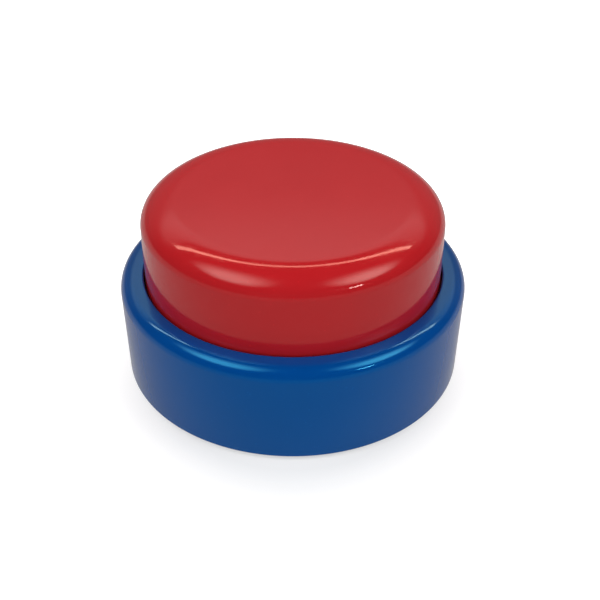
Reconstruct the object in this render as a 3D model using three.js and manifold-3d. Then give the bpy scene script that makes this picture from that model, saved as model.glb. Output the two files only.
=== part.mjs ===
// A battery-powered quiz buzzer: a wide push button that slides in a round base and sounds a speaker.
// Millimetres, +Z up. The origin is the middle of the surface that the rubber feet stand on.
// -Y is the battery side and +Y the speaker side; every piece below is drawn where it sits at rest.
import * as THREE from "three";
import { mergeVertices } from "three/addons/utils/BufferGeometryUtils.js";
import Module from "manifold-3d";

const wasm = await Module();
wasm.setup();

// ---------------------------------------------------------------- driving dimensions

const CASE_RADIUS = 45; // outside of the base where its wall meets the rounded top edge
const CASE_TOP = 27.5; // flat rim of the base
const CAP_RADIUS = 38.5; // outside of the button's wall
const CAP_TOP = 48.1; // flat top of the button
const CAP_FLAT_RADIUS = 29.5; // where the flat top turns into the rounded shoulder
const CAP_SHOULDER = 6; // height of that shoulder
const TRAVEL = 4; // full stroke of the button
const WALL = 2.2; // wall of the cap and of the base
const CLEARANCE = 0.4; // between the button and the opening it slides in
const GAP = 0.1; // between pieces that rest on each other

const CASE_BOTTOM = 1; // lower edge of the base wall
const COVER_FACE = 1.4; // outer face of the bottom cover, set back from that edge
const COVER_TOP = 3.4; // inner face of the bottom cover
const CHASSIS_BOTTOM = 15.6;
const CHASSIS_TOP = 17.4;
const CARRIER_BOTTOM = 36;
const CARRIER_TOP = 38;
const SKIRT_BOTTOM = CHASSIS_TOP + 0.2 + TRAVEL; // lower edge of the button's wall
const TAB_TOP = SKIRT_BOTTOM + 1.8; // the retaining tabs stop against the collar above them
const COLLAR_BOTTOM = TAB_TOP + GAP;
const OPENING_RADIUS = CAP_RADIUS + CLEARANCE;

const BOARD_BOTTOM = 9;
const BOARD_TOP = 10.6;
const SWITCH_STROKE = 0.25; // stroke of both tact switches
const MAIN_STEM_TOP = CHASSIS_BOTTOM;
const PLUNGER_TIP = MAIN_STEM_TOP + TRAVEL - SWITCH_STROKE + 0.05;
const RECORD_TRAVEL = 0.6;
const RECORD_FLANGE_TOP = 4.3;
const RECORD_STEM_TIP = RECORD_FLANGE_TOP + RECORD_TRAVEL - SWITCH_STROKE + 0.05;
const SLIDER_TRAVEL = 2;

const SCREW_CORE = 1; // radius of a screw's shank
const PILOT = 1.05; // radius of the hole that it screws into
const CLEAR_HOLE = 1.2; // radius of the hole that it passes through

const CELL_RADIUS = 5.25; // AAA cell
const CELL_LENGTH = 44.5;
const CELL_AXIS_Z = 8.5;
const CELL_Y = { front: -23.2, rear: -12.2 };
const WELL = { x: 25.8, front: -29, rear: -6.4, top: 14.1 }; // inside of the battery well
const WELL_WALL = 1.2;
const DOOR = { x: 27.1, front: -30.3, rear: -5.1, top: 2.8 };
const DOOR_MARGIN = 0.2; // clearance round the door
const DOOR_MIDDLE = (DOOR.front + DOOR.rear) / 2;
const DOOR_SCREW_X = 30.2;
const DOOR_TAB_Y = [DOOR_MIDDLE - 7, DOOR_MIDDLE + 7];

const SPEAKER = { x: 0, y: 24.5, radius: 14 };
const RECORD = { x: 21, y: 2 };
const SLIDER = { x: -20, y: 2 };
const MICROPHONE = { x: 8, y: 4 };
const BOARD = { x: 34, front: -4.3, rear: 8.7 };
const BOARD_SCREWS = { left: [-31, 2], right: [31, 2] };
const SPEAKER_SCREWS = { left: [-16.4, SPEAKER.y], right: [16.4, SPEAKER.y] };
const CASE_SCREWS = {
  front_left: [-35.5, -8],
  front_right: [35.5, -8],
  rear_left: [-23.5, 29.5],
  rear_right: [23.5, 29.5],
};
const FEET = {
  front_left: [-14, -35],
  front_right: [14, -35],
  rear_left: [-31, 19.5],
  rear_right: [31, 19.5],
};
const FOOT_RADIUS = 3.7;

// Three springs carry the button, and three bosses between them hold the chassis and the carrier.
const SPRING_ANGLES = { rear: 90, front_left: 210, front_right: 330 };
const BOSS_ANGLES = { rear_right: 30, rear_left: 150, front: 270 };
const SPRING_RING = 28; // distance of the spring posts from the axis
const CHASSIS_BOSS_RING = 39.6;
const CARRIER_BOSS_RING = 22;
const POST_RADIUS = 2.4;
const SLEEVE_BOTTOM = 29; // lower end of the carrier's sleeves, which the springs push against

const ROUND = { large: 64, deck: 40, medium: 20, small: 12, tiny: 8 }; // sides of a round shape, by its size

// ---------------------------------------------------------------- materials

const plastic = (color, roughness) => new THREE.MeshStandardMaterial({ color, roughness, metalness: 0 });
const metal = (color, roughness) => new THREE.MeshStandardMaterial({ color, roughness, metalness: 1 });

const MATERIAL = {
  redGloss: plastic(0xb3141a, 0.15),
  blueGloss: plastic(0x00488c, 0.15),
  blueMatt: plastic(0x0a4a8c, 0.45),
  white: plastic(0xe6e6e0, 0.5),
  black: plastic(0x1a1a1c, 0.5),
  rubber: plastic(0x202022, 0.85),
  foam: plastic(0x303032, 0.95),
  board: plastic(0x1d6b3a, 0.4),
  epoxy: plastic(0x101012, 0.25),
  paper: plastic(0x25211f, 0.8),
  resistor: plastic(0xc8a878, 0.5),
  capacitor: plastic(0x16325c, 0.35),
  cell: plastic(0x24282c, 0.35),
  redWire: plastic(0xb01818, 0.4),
  blackWire: plastic(0x18181a, 0.4),
  steel: metal(0xb8bbc0, 0.3),
  spring: metal(0x9a9ea4, 0.25),
  contact: metal(0xc9ccd0, 0.25),
  magnet: metal(0x55585c, 0.45),
};

// ---------------------------------------------------------------- solids

const degrees = THREE.MathUtils.degToRad;

// A three.js geometry as a manifold-3d solid with its faces pointing out.
function solid(geometry) {
  const bare = new THREE.BufferGeometry();
  bare.setAttribute("position", geometry.getAttribute("position"));
  bare.setIndex(geometry.index);
  const merged = mergeVertices(bare, 1e-4);
  const corners = merged.index.array;
  const triangles = [];
  for (let i = 0; i < corners.length; i += 3) {
    const [a, b, c] = [corners[i], corners[i + 1], corners[i + 2]];
    if (a !== b && b !== c && c !== a) triangles.push(a, b, c);
  }
  const vertices = merged.getAttribute("position").array;
  const build = (list) =>
    new wasm.Manifold(
      new wasm.Mesh({ numProp: 3, vertProperties: vertices, triVerts: new Uint32Array(list) }),
    );
  const made = build(triangles);
  return made.volume() < 0 ? build(triangles.reverse()) : made;
}

function geometryOf(made) {
  const mesh = made.getMesh();
  const geometry = new THREE.BufferGeometry();
  geometry.setAttribute("position", new THREE.BufferAttribute(mesh.vertProperties, 3));
  geometry.setIndex(new THREE.BufferAttribute(mesh.triVerts, 1));
  return geometry;
}

const join = (...solids) => solids.reduce((all, next) => all.add(next));
const cut = (body, ...tools) => tools.reduce((rest, tool) => rest.subtract(tool), body);

// A ring, disc or shell turned about a vertical axis at (x, y). Its profile is a list of [radius, z].
function turned(profile, sides, [x, y] = [0, 0]) {
  const onAxis = profile[0][0] === 0 && profile.at(-1)[0] === 0;
  const closed = onAxis ? profile : [...profile, profile[0]];
  const points = closed.map(([radius, z]) => new THREE.Vector2(radius, z));
  const geometry = new THREE.LatheGeometry(points, sides);
  geometry.rotateX(Math.PI / 2);
  geometry.translate(x, y, 0);
  return solid(geometry);
}

const rod = (radius, low, high, sides, at) =>
  turned([[0, low], [radius, low], [radius, high], [0, high]], sides, at);

const pipe = (inner, outer, low, high, sides, at) =>
  turned([[inner, low], [outer, low], [outer, high], [inner, high]], sides, at);

// A box between two opposite corners, turned about the vertical axis by a number of degrees.
function block([x0, y0, z0], [x1, y1, z1], turn = 0) {
  const geometry = new THREE.BoxGeometry(x1 - x0, y1 - y0, z1 - z0);
  geometry.translate((x0 + x1) / 2, (y0 + y1) / 2, (z0 + z1) / 2);
  geometry.rotateZ(degrees(turn));
  return solid(geometry);
}

// A flat piece of a ring, between two radii, centred on an angle in degrees.
function sector(inner, outer, low, high, middle, width) {
  const from = degrees(middle - width / 2);
  const to = degrees(middle + width / 2);
  const shape = new THREE.Shape();
  shape.absarc(0, 0, outer, from, to, false);
  shape.absarc(0, 0, inner, to, from, true);
  const settings = { depth: high - low, bevelEnabled: false, curveSegments: 4 };
  return solid(new THREE.ExtrudeGeometry(shape, settings).translate(0, 0, low));
}

// Points on a quarter of an ellipse from one angle to another, in degrees from the radius axis.
function arc(centreRadius, centreZ, radial, vertical, from, to, steps) {
  return Array.from({ length: steps + 1 }, (_, i) => {
    const angle = degrees(from + ((to - from) * i) / steps);
    return [centreRadius + radial * Math.cos(angle), centreZ + vertical * Math.sin(angle)];
  });
}

function polar(ring, angle) {
  return [ring * Math.cos(degrees(angle)), ring * Math.sin(degrees(angle))];
}

// A round wire along a curve.
function wireAlong(curve, radius, sides, steps) {
  const section = new THREE.Shape();
  for (let i = 0; i < sides; i++) {
    const [x, y] = polar(radius, (360 * i) / sides);
    if (i === 0) section.moveTo(x, y);
    else section.lineTo(x, y);
  }
  return solid(new THREE.ExtrudeGeometry(section, { steps, bevelEnabled: false, extrudePath: curve }));
}

// A coil about the Z axis whose end turns lie closed; its radius may change from one end to the other.
class Coil extends THREE.Curve {
  constructor(startRadius, endRadius, low, high, turns, wire) {
    super();
    Object.assign(this, { startRadius, endRadius, low, high, turns, wire });
  }
  getPoint(t, target = new THREE.Vector3()) {
    const closedTurns = 0.8;
    const closedPitch = this.wire * 2.4;
    const turn = t * this.turns;
    const open = this.high - this.low - 2 * closedTurns * closedPitch;
    const middle = THREE.MathUtils.clamp((turn - closedTurns) / (this.turns - 2 * closedTurns), 0, 1);
    const ends = Math.min(turn, closedTurns) + Math.max(turn - this.turns + closedTurns, 0);
    const radius = THREE.MathUtils.lerp(this.startRadius, this.endRadius, t);
    const [x, y] = polar(radius, 360 * turn);
    return target.set(x, y, this.low + open * middle + closedPitch * ends);
  }
}

// ---------------------------------------------------------------- the assembly

const buzzer = new THREE.Group();

function add(name, material, made) {
  const mesh = new THREE.Mesh(geometryOf(made), material);
  mesh.name = name;
  buzzer.add(mesh);
  return mesh;
}

// A pan-head screw with a cross recess. Its head stands on the seat; facing is +1 for a head on top.
function addScrew(name, [x, y], seat, facing, { head = 2, height = 1.3, length = 8 } = {}) {
  const crown = height * 0.45;
  const tip = 1.4;
  const body = turned(
    [
      [0, -length],
      [SCREW_CORE, tip - length],
      [SCREW_CORE, 0],
      [head, 0],
      [head, height - crown],
      [head * 0.6, height],
      [0, height],
    ],
    ROUND.tiny,
  );
  const arm = head * 0.55;
  const slot = 0.3;
  const depth = height * 0.45;
  const made = cut(
    body,
    block([-arm, -slot, depth], [arm, slot, height + 1]),
    block([-slot, -arm, depth], [slot, arm, height + 1]),
  );
  const geometry = geometryOf(made);
  if (facing < 0) geometry.rotateX(Math.PI);
  geometry.translate(x, y, seat);
  return add(name, MATERIAL.steel, solid(geometry));
}

// ---------------------------------------------------------------- base housing

// The blue ring: its drafted wall, rounded top edge, flat rim and the collar that guides the button.
function baseHousing() {
  const edge = 3.5;
  const bottomRadius = CASE_RADIUS - 0.4;
  const lip = 0.5;
  const collarWall = 1.8;
  const inside = CASE_RADIUS - WALL;
  const shell = turned(
    [
      [bottomRadius, CASE_BOTTOM],
      ...arc(CASE_RADIUS - edge, CASE_TOP - edge, edge, edge, 0, 90, 3),
      [OPENING_RADIUS + lip, CASE_TOP],
      [OPENING_RADIUS, CASE_TOP - lip],
      [OPENING_RADIUS, COLLAR_BOTTOM],
      [OPENING_RADIUS + collarWall, COLLAR_BOTTOM],
      [OPENING_RADIUS + collarWall, CASE_TOP - WALL],
      [inside - 1.2, CASE_TOP - WALL],
      [inside, CASE_TOP - WALL - 1.2],
      [bottomRadius - WALL, CASE_BOTTOM],
    ],
    ROUND.large,
  );
  const low = CHASSIS_TOP + GAP;
  const high = low + 4.3;
  const bosses = Object.values(BOSS_ANGLES).map((angle) =>
    join(
      rod(2.6, low, high, ROUND.small, polar(CHASSIS_BOSS_RING, angle)),
      block([CHASSIS_BOSS_RING, -1.5, low], [inside + 0.6, 1.5, high], angle),
    ),
  );
  const pilots = Object.values(BOSS_ANGLES).map((angle) =>
    rod(PILOT, low - 1, high - 0.6, ROUND.small, polar(CHASSIS_BOSS_RING, angle)),
  );
  add("upper_housing", MATERIAL.blueGloss, cut(join(shell, ...bosses), ...pilots));
}

// ---------------------------------------------------------------- button

function buttonCap() {
  const innerRadius = CAP_RADIUS - WALL;
  const shoulder = (radius, height, from, to, steps) =>
    arc(CAP_FLAT_RADIUS, CAP_TOP - CAP_SHOULDER, radius - CAP_FLAT_RADIUS, height, from, to, steps);
  const shell = turned(
    [
      [0, CAP_TOP - WALL],
      ...shoulder(innerRadius, CAP_SHOULDER - WALL, 90, 0, 3),
      [innerRadius, SKIRT_BOTTOM],
      [CAP_RADIUS, SKIRT_BOTTOM],
      ...shoulder(CAP_RADIUS, CAP_SHOULDER, 0, 90, 6),
      [0, CAP_TOP],
    ],
    ROUND.large,
  );
  const tabs = Object.values(SPRING_ANGLES).map((angle) =>
    sector(CAP_RADIUS - 0.6, CASE_RADIUS - 3.1, SKIRT_BOTTOM, TAB_TOP, angle, 24),
  );
  const bosses = Object.values(BOSS_ANGLES).map((angle) =>
    rod(2.6, CARRIER_TOP + GAP, CAP_TOP - WALL + 0.4, ROUND.small, polar(CARRIER_BOSS_RING, angle)),
  );
  const pilots = Object.values(BOSS_ANGLES).map((angle) =>
    rod(PILOT, CARRIER_TOP - 1, CAP_TOP - WALL - 1.5, ROUND.small, polar(CARRIER_BOSS_RING, angle)),
  );
  // The wall is notched round the housing's bosses, which also stops the button from turning.
  const notches = Object.values(BOSS_ANGLES).map((angle) =>
    block([CAP_RADIUS - 4, -3.6, SKIRT_BOTTOM - 1], [CAP_RADIUS + 1, 3.6, SKIRT_BOTTOM + 4.4], angle),
  );
  add("button_cap", MATERIAL.redGloss, cut(join(shell, ...tabs, ...bosses), ...pilots, ...notches));
}

// The white frame inside the cap: a ribbed plate with three guide sleeves and the central plunger.
function buttonCarrier() {
  const rim = 35.4;
  const plunger = 3.6;
  const sleeveAt = Object.values(SPRING_ANGLES).map((angle) => polar(SPRING_RING, angle));
  const plate = join(
    rod(rim, CARRIER_BOTTOM, CARRIER_TOP, ROUND.deck),
    pipe(rim - 1.6, rim, CARRIER_BOTTOM - 3, CARRIER_BOTTOM + 0.5, ROUND.deck),
    rod(plunger, PLUNGER_TIP + 1.5, CARRIER_TOP, ROUND.small),
    ...sleeveAt.map((at) => rod(4.4, SLEEVE_BOTTOM, CARRIER_TOP, ROUND.small, at)),
    ...Object.values(SPRING_ANGLES).map((angle) =>
      block([2, -0.7, CARRIER_BOTTOM - 5], [rim - 1, 0.7, CARRIER_BOTTOM + 0.5], angle),
    ),
  );
  const windows = [0, 60, 120, 180, 240, 300].map((angle) =>
    rod(5, CARRIER_BOTTOM - 1, CARRIER_TOP + 1, ROUND.small, polar(25, angle)),
  );
  const screwHoles = Object.values(BOSS_ANGLES).map((angle) =>
    rod(CLEAR_HOLE, CARRIER_BOTTOM - 1, CARRIER_TOP + 1, ROUND.tiny, polar(CARRIER_BOSS_RING, angle)),
  );
  const made = cut(
    plate,
    ...windows,
    ...screwHoles,
    ...sleeveAt.map((at) => rod(POST_RADIUS + 0.5, SLEEVE_BOTTOM - 1, CARRIER_TOP + 1, ROUND.small, at)),
    rod(1.7, PLUNGER_TIP, PLUNGER_TIP + 7, ROUND.small),
  );
  add("button_carrier", MATERIAL.white, made);
  for (const [place, angle] of Object.entries(BOSS_ANGLES)) {
    const at = polar(CARRIER_BOSS_RING, angle);
    addScrew(`carrier_screw_${place}`, at, CARRIER_BOTTOM - GAP, -1, { length: 7 });
  }
}

// The rubber tip pushed into the end of the plunger.
function plungerPad() {
  const shoulder = PLUNGER_TIP + 1.4;
  add(
    "plunger_pad",
    MATERIAL.rubber,
    turned(
      [
        [0, PLUNGER_TIP],
        [2.4, PLUNGER_TIP],
        [3, PLUNGER_TIP + 0.6],
        [3, shoulder],
        [1.5, shoulder],
        [1.5, shoulder + 4],
        [0, shoulder + 4],
      ],
      ROUND.small,
    ),
  );
}

// ---------------------------------------------------------------- chassis and springs

// The white deck under the button: posts for the springs above it, screw columns below it.
function chassis() {
  const holeRadius = 6;
  const holes = [
    rod(holeRadius, CHASSIS_BOTTOM - 1, CHASSIS_TOP + 3, ROUND.medium),
    ...Object.values(BOSS_ANGLES).map((angle) =>
      rod(CLEAR_HOLE, CHASSIS_BOTTOM - 1, CHASSIS_TOP + 1, ROUND.tiny, polar(CHASSIS_BOSS_RING, angle)),
    ),
  ];
  const posts = Object.values(SPRING_ANGLES).map((angle) =>
    turned(
      [
        [0, CHASSIS_TOP - 0.5],
        [POST_RADIUS, CHASSIS_TOP - 0.5],
        [POST_RADIUS, CARRIER_BOTTOM - 1.1],
        [POST_RADIUS - 0.6, CARRIER_BOTTOM - 0.5],
        [0, CARRIER_BOTTOM - 0.5],
      ],
      ROUND.small,
      polar(SPRING_RING, angle),
    ),
  );
  const seats = Object.values(SPRING_ANGLES).map((angle) =>
    pipe(4.5, 5.4, CHASSIS_TOP - 0.5, CHASSIS_TOP + 0.8, ROUND.small, polar(SPRING_RING, angle)),
  );
  const columnLow = COVER_TOP + 2;
  const columns = Object.values(CASE_SCREWS).map((at) =>
    rod(2.8, columnLow, CHASSIS_BOTTOM + 0.5, ROUND.small, at),
  );
  const pilots = Object.values(CASE_SCREWS).map((at) =>
    rod(PILOT, columnLow - 1, CHASSIS_BOTTOM - 1, ROUND.small, at),
  );
  const plate = join(
    rod(CASE_RADIUS - 3, CHASSIS_BOTTOM, CHASSIS_TOP, ROUND.deck),
    rod(holeRadius + 1.4, CHASSIS_TOP - 0.5, CHASSIS_TOP + 1.6, ROUND.medium),
  );
  add("chassis_plate", MATERIAL.white, cut(join(plate, ...posts, ...seats, ...columns), ...holes, ...pilots));
  for (const [place, angle] of Object.entries(BOSS_ANGLES)) {
    addScrew(`chassis_screw_${place}`, polar(CHASSIS_BOSS_RING, angle), CHASSIS_BOTTOM - GAP, -1, {
      length: 5,
      head: 1.9,
    });
  }
}

function buttonSprings() {
  const wire = 0.35;
  for (const [place, angle] of Object.entries(SPRING_ANGLES)) {
    const coil = new Coil(3.7, 3.7, CHASSIS_TOP + GAP + wire, SLEEVE_BOTTOM - GAP - wire, 5, wire);
    const [x, y] = polar(SPRING_RING, angle);
    add(`button_spring_${place}`, MATERIAL.spring, wireAlong(coil, wire, 4, 42).translate([x, y, 0]));
  }
}

// ---------------------------------------------------------------- bottom cover, door and feet

function bottomCover() {
  const under = COVER_FACE - 1; // a level below the cover, where cuts through its face start
  const floorIn = COVER_TOP - 0.1; // raised features start inside the floor
  const wellOuterX = WELL.x + WELL_WALL;
  const wellFront = WELL.front - WELL_WALL;
  const wellRear = WELL.rear + WELL_WALL;
  const postTop = BOARD_BOTTOM - GAP;
  const ledge = DOOR.top + GAP;
  const screwAt = [DOOR_SCREW_X, DOOR_MIDDLE];
  const speakerAt = [SPEAKER.x, SPEAKER.y];

  const raised = [
    block([-wellOuterX, wellFront, floorIn], [wellOuterX, wellRear, WELL.top + WELL_WALL]),
    pipe(SPEAKER.radius + 0.3, SPEAKER.radius + 1.3, floorIn, COVER_TOP + 1.4, ROUND.medium, speakerAt),
    rod(4.6, floorIn, 9.5, ROUND.small, screwAt),
    ...Object.values(CASE_SCREWS).map((at) => rod(3.6, floorIn, COVER_TOP + 1.8, ROUND.small, at)),
    ...Object.values(BOARD_SCREWS).map((at) => rod(2.4, floorIn, postTop, ROUND.small, at)),
    ...Object.values(SPEAKER_SCREWS).map((at) => rod(2.2, floorIn, COVER_TOP + 1.4, ROUND.small, at)),
    ...DOOR_TAB_Y.map((y) => block([-30, y - 4.4, floorIn], [-DOOR.x, y + 4.4, COVER_TOP + 1.2])),
  ];

  const wellCut = block([-WELL.x, WELL.front, under], [WELL.x, WELL.rear, WELL.top]);
  const tailSlots = Object.values(CELL_Y).map((y) =>
    block([-wellOuterX - 1, y - 1.7, 10.9], [-WELL.x + 1, y + 1.7, 11.9]),
  );
  const doorCuts = [
    block(
      [-DOOR.x - DOOR_MARGIN, DOOR.front - DOOR_MARGIN, under],
      [DOOR.x + DOOR_MARGIN, DOOR.rear + DOOR_MARGIN, ledge],
    ),
    block([DOOR.x, DOOR_MIDDLE - 3, under], [DOOR_SCREW_X, DOOR_MIDDLE + 3, ledge]),
    rod(3.6, under, COVER_TOP, ROUND.medium, screwAt),
    rod(PILOT + 0.3, under, 8.9, ROUND.small, screwAt),
    ...DOOR_TAB_Y.map((y) =>
      block([-28.7, y - 3.4, DOOR.top - 0.9], [-WELL.x + 0.1, y + 3.4, COVER_TOP + 0.3]),
    ),
  ];
  const screwCuts = [
    ...Object.values(CASE_SCREWS).flatMap((at) => [
      rod(2.5, under, COVER_TOP + 0.2, ROUND.small, at),
      rod(CLEAR_HOLE, under, COVER_TOP + 3, ROUND.tiny, at),
    ]),
    ...Object.values(BOARD_SCREWS).map((at) => rod(PILOT, COVER_TOP, postTop + 1, ROUND.small, at)),
    ...Object.values(SPEAKER_SCREWS).map((at) =>
      rod(PILOT, COVER_FACE + 0.6, COVER_TOP + 3, ROUND.small, at),
    ),
  ];
  const controlCuts = [
    rod(3.7, under, COVER_TOP + 1, ROUND.medium, [RECORD.x, RECORD.y]),
    rod(0.6, under, COVER_TOP + 1, ROUND.tiny, [MICROPHONE.x, MICROPHONE.y]),
    block([SLIDER.x - 3.4, SLIDER.y - 1.6, under], [SLIDER.x + 3.4, SLIDER.y + 1.6, COVER_TOP + 1]),
  ];
  const footCuts = Object.values(FEET).map((at) =>
    rod(FOOT_RADIUS + 0.2, under, COVER_FACE + 0.5, ROUND.medium, at),
  );
  // A round grille: one hole in the middle and rings of holes round it.
  const grille = [[0, 1], [4, 6], [8, 12]].flatMap(([ring, count]) =>
    Array.from({ length: count }, (_, i) => {
      const [x, y] = polar(ring, (360 * i) / count);
      return rod(0.9, under, COVER_TOP + 1, 8, [SPEAKER.x + x, SPEAKER.y + y]);
    }),
  );

  const shell = join(rod(CASE_RADIUS - 2.9, COVER_FACE, COVER_TOP, ROUND.deck), ...raised);
  const openings = [wellCut, ...tailSlots, ...doorCuts, ...screwCuts, ...controlCuts, ...footCuts, ...grille];
  const cellRib = block([-20, DOOR_MIDDLE - 0.4, 12.2], [20, DOOR_MIDDLE + 0.4, WELL.top + 0.5]);
  add("bottom_cover", MATERIAL.blueMatt, join(cut(shell, ...openings), cellRib));
}

// The battery door hooks under the cover at its -X end and is held by a captive screw at its +X end.
function batteryDoor() {
  const screwAt = [DOOR_SCREW_X, DOOR_MIDDLE];
  const plate = join(
    block([-DOOR.x, DOOR.front, COVER_FACE], [DOOR.x, DOOR.rear, DOOR.top]),
    block([DOOR.x - 1, DOOR_MIDDLE - 2.8, COVER_FACE], [DOOR_SCREW_X, DOOR_MIDDLE + 2.8, DOOR.top]),
    rod(3.3, COVER_FACE, COVER_TOP - GAP, ROUND.medium, screwAt),
    ...DOOR_TAB_Y.map((y) => block([-28.3, y - 3, DOOR.top - 0.8], [-DOOR.x + 1, y + 3, DOOR.top])),
  );
  const headSeat = COVER_FACE + 1.3;
  const grooves = [0, 1, 2, 3].map((i) =>
    block([16.5 + 2 * i, DOOR_MIDDLE - 5, COVER_FACE - 1], [17.5 + 2 * i, DOOR_MIDDLE + 5, COVER_FACE + 0.4]),
  );
  const made = cut(
    plate,
    rod(2.3, COVER_FACE - 1, headSeat, ROUND.small, screwAt),
    rod(CLEAR_HOLE, COVER_FACE - 1, COVER_TOP + 1, ROUND.tiny, screwAt),
    ...grooves,
  );
  add("battery_door", MATERIAL.blueMatt, made);
  addScrew("battery_door_screw", screwAt, headSeat - 0.05, -1, { length: 4.6, height: 1.1 });
}

function feet() {
  for (const [place, at] of Object.entries(FEET)) {
    const made = turned(
      [
        [0, 0],
        [FOOT_RADIUS - 0.5, 0],
        [FOOT_RADIUS, 0.5],
        [FOOT_RADIUS, COVER_FACE + 0.45],
        [0, COVER_FACE + 0.45],
      ],
      ROUND.medium,
      at,
    );
    add(`foot_${place}`, MATERIAL.rubber, made);
  }
}

function caseScrews() {
  for (const [place, at] of Object.entries(CASE_SCREWS)) {
    addScrew(`case_screw_${place}`, at, COVER_TOP + 0.2 - 0.05, -1, { length: 9 });
  }
}

// ---------------------------------------------------------------- batteries and their contacts

// An AAA cell lying along X; facing is +1 when its raised end points to +X.
function addCell(name, y, facing) {
  const nub = 1.9;
  const end = CELL_LENGTH / 2;
  const made = turned(
    [
      [0, -end],
      [CELL_RADIUS - 0.5, -end],
      [CELL_RADIUS, 0.5 - end],
      [CELL_RADIUS, end - 1.3],
      [CELL_RADIUS - 0.5, end - 0.8],
      [nub, end - 0.8],
      [nub, end],
      [0, end],
    ],
    ROUND.medium,
  );
  const geometry = geometryOf(made);
  geometry.rotateY((facing * Math.PI) / 2);
  const contactFace = WELL.x - 0.55;
  geometry.translate(facing * (contactFace - end), y, CELL_AXIS_Z);
  add(name, MATERIAL.cell, solid(geometry));
}

// A contact spring that narrows from its plate towards the cell; direction is the way it points along X.
function contactSpring(plateX, y, direction) {
  const wire = 0.3;
  const flatEnd = WELL.x - 0.55 - CELL_LENGTH - GAP; // just short of the cell's flat end
  const length = Math.abs(plateX) + flatEnd - wire;
  const coil = new Coil(3.6, 1.9, 0, length, 3.4, wire);
  const geometry = geometryOf(wireAlong(coil, wire, 4, 27));
  geometry.rotateY((direction * Math.PI) / 2);
  geometry.translate(plateX, y, CELL_AXIS_Z);
  return solid(geometry);
}

function contacts() {
  const outer = WELL.x - 0.05;
  const inner = outer - 0.4;
  const low = CELL_AXIS_Z - 4.2;
  const high = CELL_AXIS_Z + 4.2;
  const plate = (side, front, rear) => {
    const [x0, x1] = side > 0 ? [inner, outer] : [-outer, -inner];
    return block([x0, front, low], [x1, rear, high]);
  };
  const tail = (y) => block([-28.9, y - 1.4, 11.2], [-outer + 0.2, y + 1.4, 11.6]);
  add(
    "contact_bridge",
    MATERIAL.contact,
    join(plate(1, CELL_Y.front - 4.2, CELL_Y.rear + 4.2), contactSpring(inner, CELL_Y.rear, -1)),
  );
  add(
    "contact_positive",
    MATERIAL.contact,
    join(plate(-1, CELL_Y.rear - 4.2, CELL_Y.rear + 4.2), tail(CELL_Y.rear)),
  );
  add(
    "contact_negative",
    MATERIAL.contact,
    join(
      plate(-1, CELL_Y.front - 4.2, CELL_Y.front + 4.2),
      tail(CELL_Y.front),
      contactSpring(-inner, CELL_Y.front, 1),
    ),
  );
}

// ---------------------------------------------------------------- circuit board and what it carries

function circuitBoard() {
  const holes = Object.values(BOARD_SCREWS).map((at) =>
    rod(CLEAR_HOLE + 0.2, BOARD_BOTTOM - 1, BOARD_TOP + 1, ROUND.small, at),
  );
  add(
    "circuit_board",
    MATERIAL.board,
    cut(block([-BOARD.x, BOARD.front, BOARD_BOTTOM], [BOARD.x, BOARD.rear, BOARD_TOP]), ...holes),
  );
  for (const [side, at] of Object.entries(BOARD_SCREWS)) {
    addScrew(`board_screw_${side}`, at, BOARD_TOP + GAP, 1, { length: 6 });
  }
}

// A square tact switch body with a round well for its stem. mouth is the face that the stem comes out of.
function switchBody([x, y], base, mouth) {
  const [low, high] = [Math.min(base, mouth), Math.max(base, mouth)];
  const depth = 0.6 * Math.sign(mouth - base);
  const well = [mouth - depth, mouth + depth];
  return cut(
    block([x - 3, y - 3, low], [x + 3, y + 3, high]),
    rod(1.95, Math.min(...well), Math.max(...well), ROUND.small, [x, y]),
  );
}

function switches() {
  const mainMouth = BOARD_TOP + 3.5;
  const recordMouth = BOARD_BOTTOM - 3.5;
  const recordAt = [RECORD.x, RECORD.y];
  add("main_switch_body", MATERIAL.black, switchBody([0, 0], BOARD_TOP + 0.05, mainMouth));
  add("main_switch_stem", MATERIAL.black, rod(1.75, mainMouth - 0.3, MAIN_STEM_TOP, ROUND.small));
  add("record_switch_body", MATERIAL.black, switchBody(recordAt, BOARD_BOTTOM - 0.05, recordMouth));
  const recordStem = rod(1.75, RECORD_STEM_TIP, recordMouth + 0.3, ROUND.small, recordAt);
  add("record_switch_stem", MATERIAL.black, recordStem);
}

// The small red button under the base that starts a recording.
function recordButton() {
  const face = 0.95;
  const made = turned(
    [
      [0, face + 0.25],
      [2.4, face],
      [3, face],
      [3.3, face + 0.3],
      [3.3, COVER_TOP + GAP],
      [4.4, COVER_TOP + GAP],
      [4.4, RECORD_FLANGE_TOP],
      [0, RECORD_FLANGE_TOP],
    ],
    ROUND.medium,
    [RECORD.x, RECORD.y],
  );
  add("record_button", MATERIAL.redGloss, made);
}

// The slide switch under the board and the knob that moves in a slot of the cover.
function slideSwitch() {
  const { x, y } = SLIDER;
  const mouth = BOARD_BOTTOM - 3.5;
  const body = cut(
    block([x - 4.3, y - 2.2, mouth], [x + 4.3, y + 2.2, BOARD_BOTTOM - 0.05]),
    block([x - 2.2, y - 1.1, mouth - 1], [x + 2.2, y + 1.1, mouth + 1.2]),
  );
  add("slide_switch_body", MATERIAL.steel, body);
  const at = x - SLIDER_TRAVEL / 2;
  const face = 1;
  const flange = COVER_TOP + GAP;
  const grooves = [-1, 0, 1].map((i) =>
    block([at + i - 0.2, y - 2, face - 1], [at + i + 0.2, y + 2, face + 0.4]),
  );
  const knob = join(
    block([at - 2, y - 1.3, face], [at + 2, y + 1.3, flange + 1.1]),
    block([at - 4.4, y - 2, flange], [at + 4.4, y + 2, flange + 0.5]),
    block([at - 0.8, y - 0.8, flange + 1], [at + 0.8, y + 0.8, mouth + 0.9]),
  );
  add("slide_switch_knob", MATERIAL.black, cut(knob, ...grooves));
}

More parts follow.
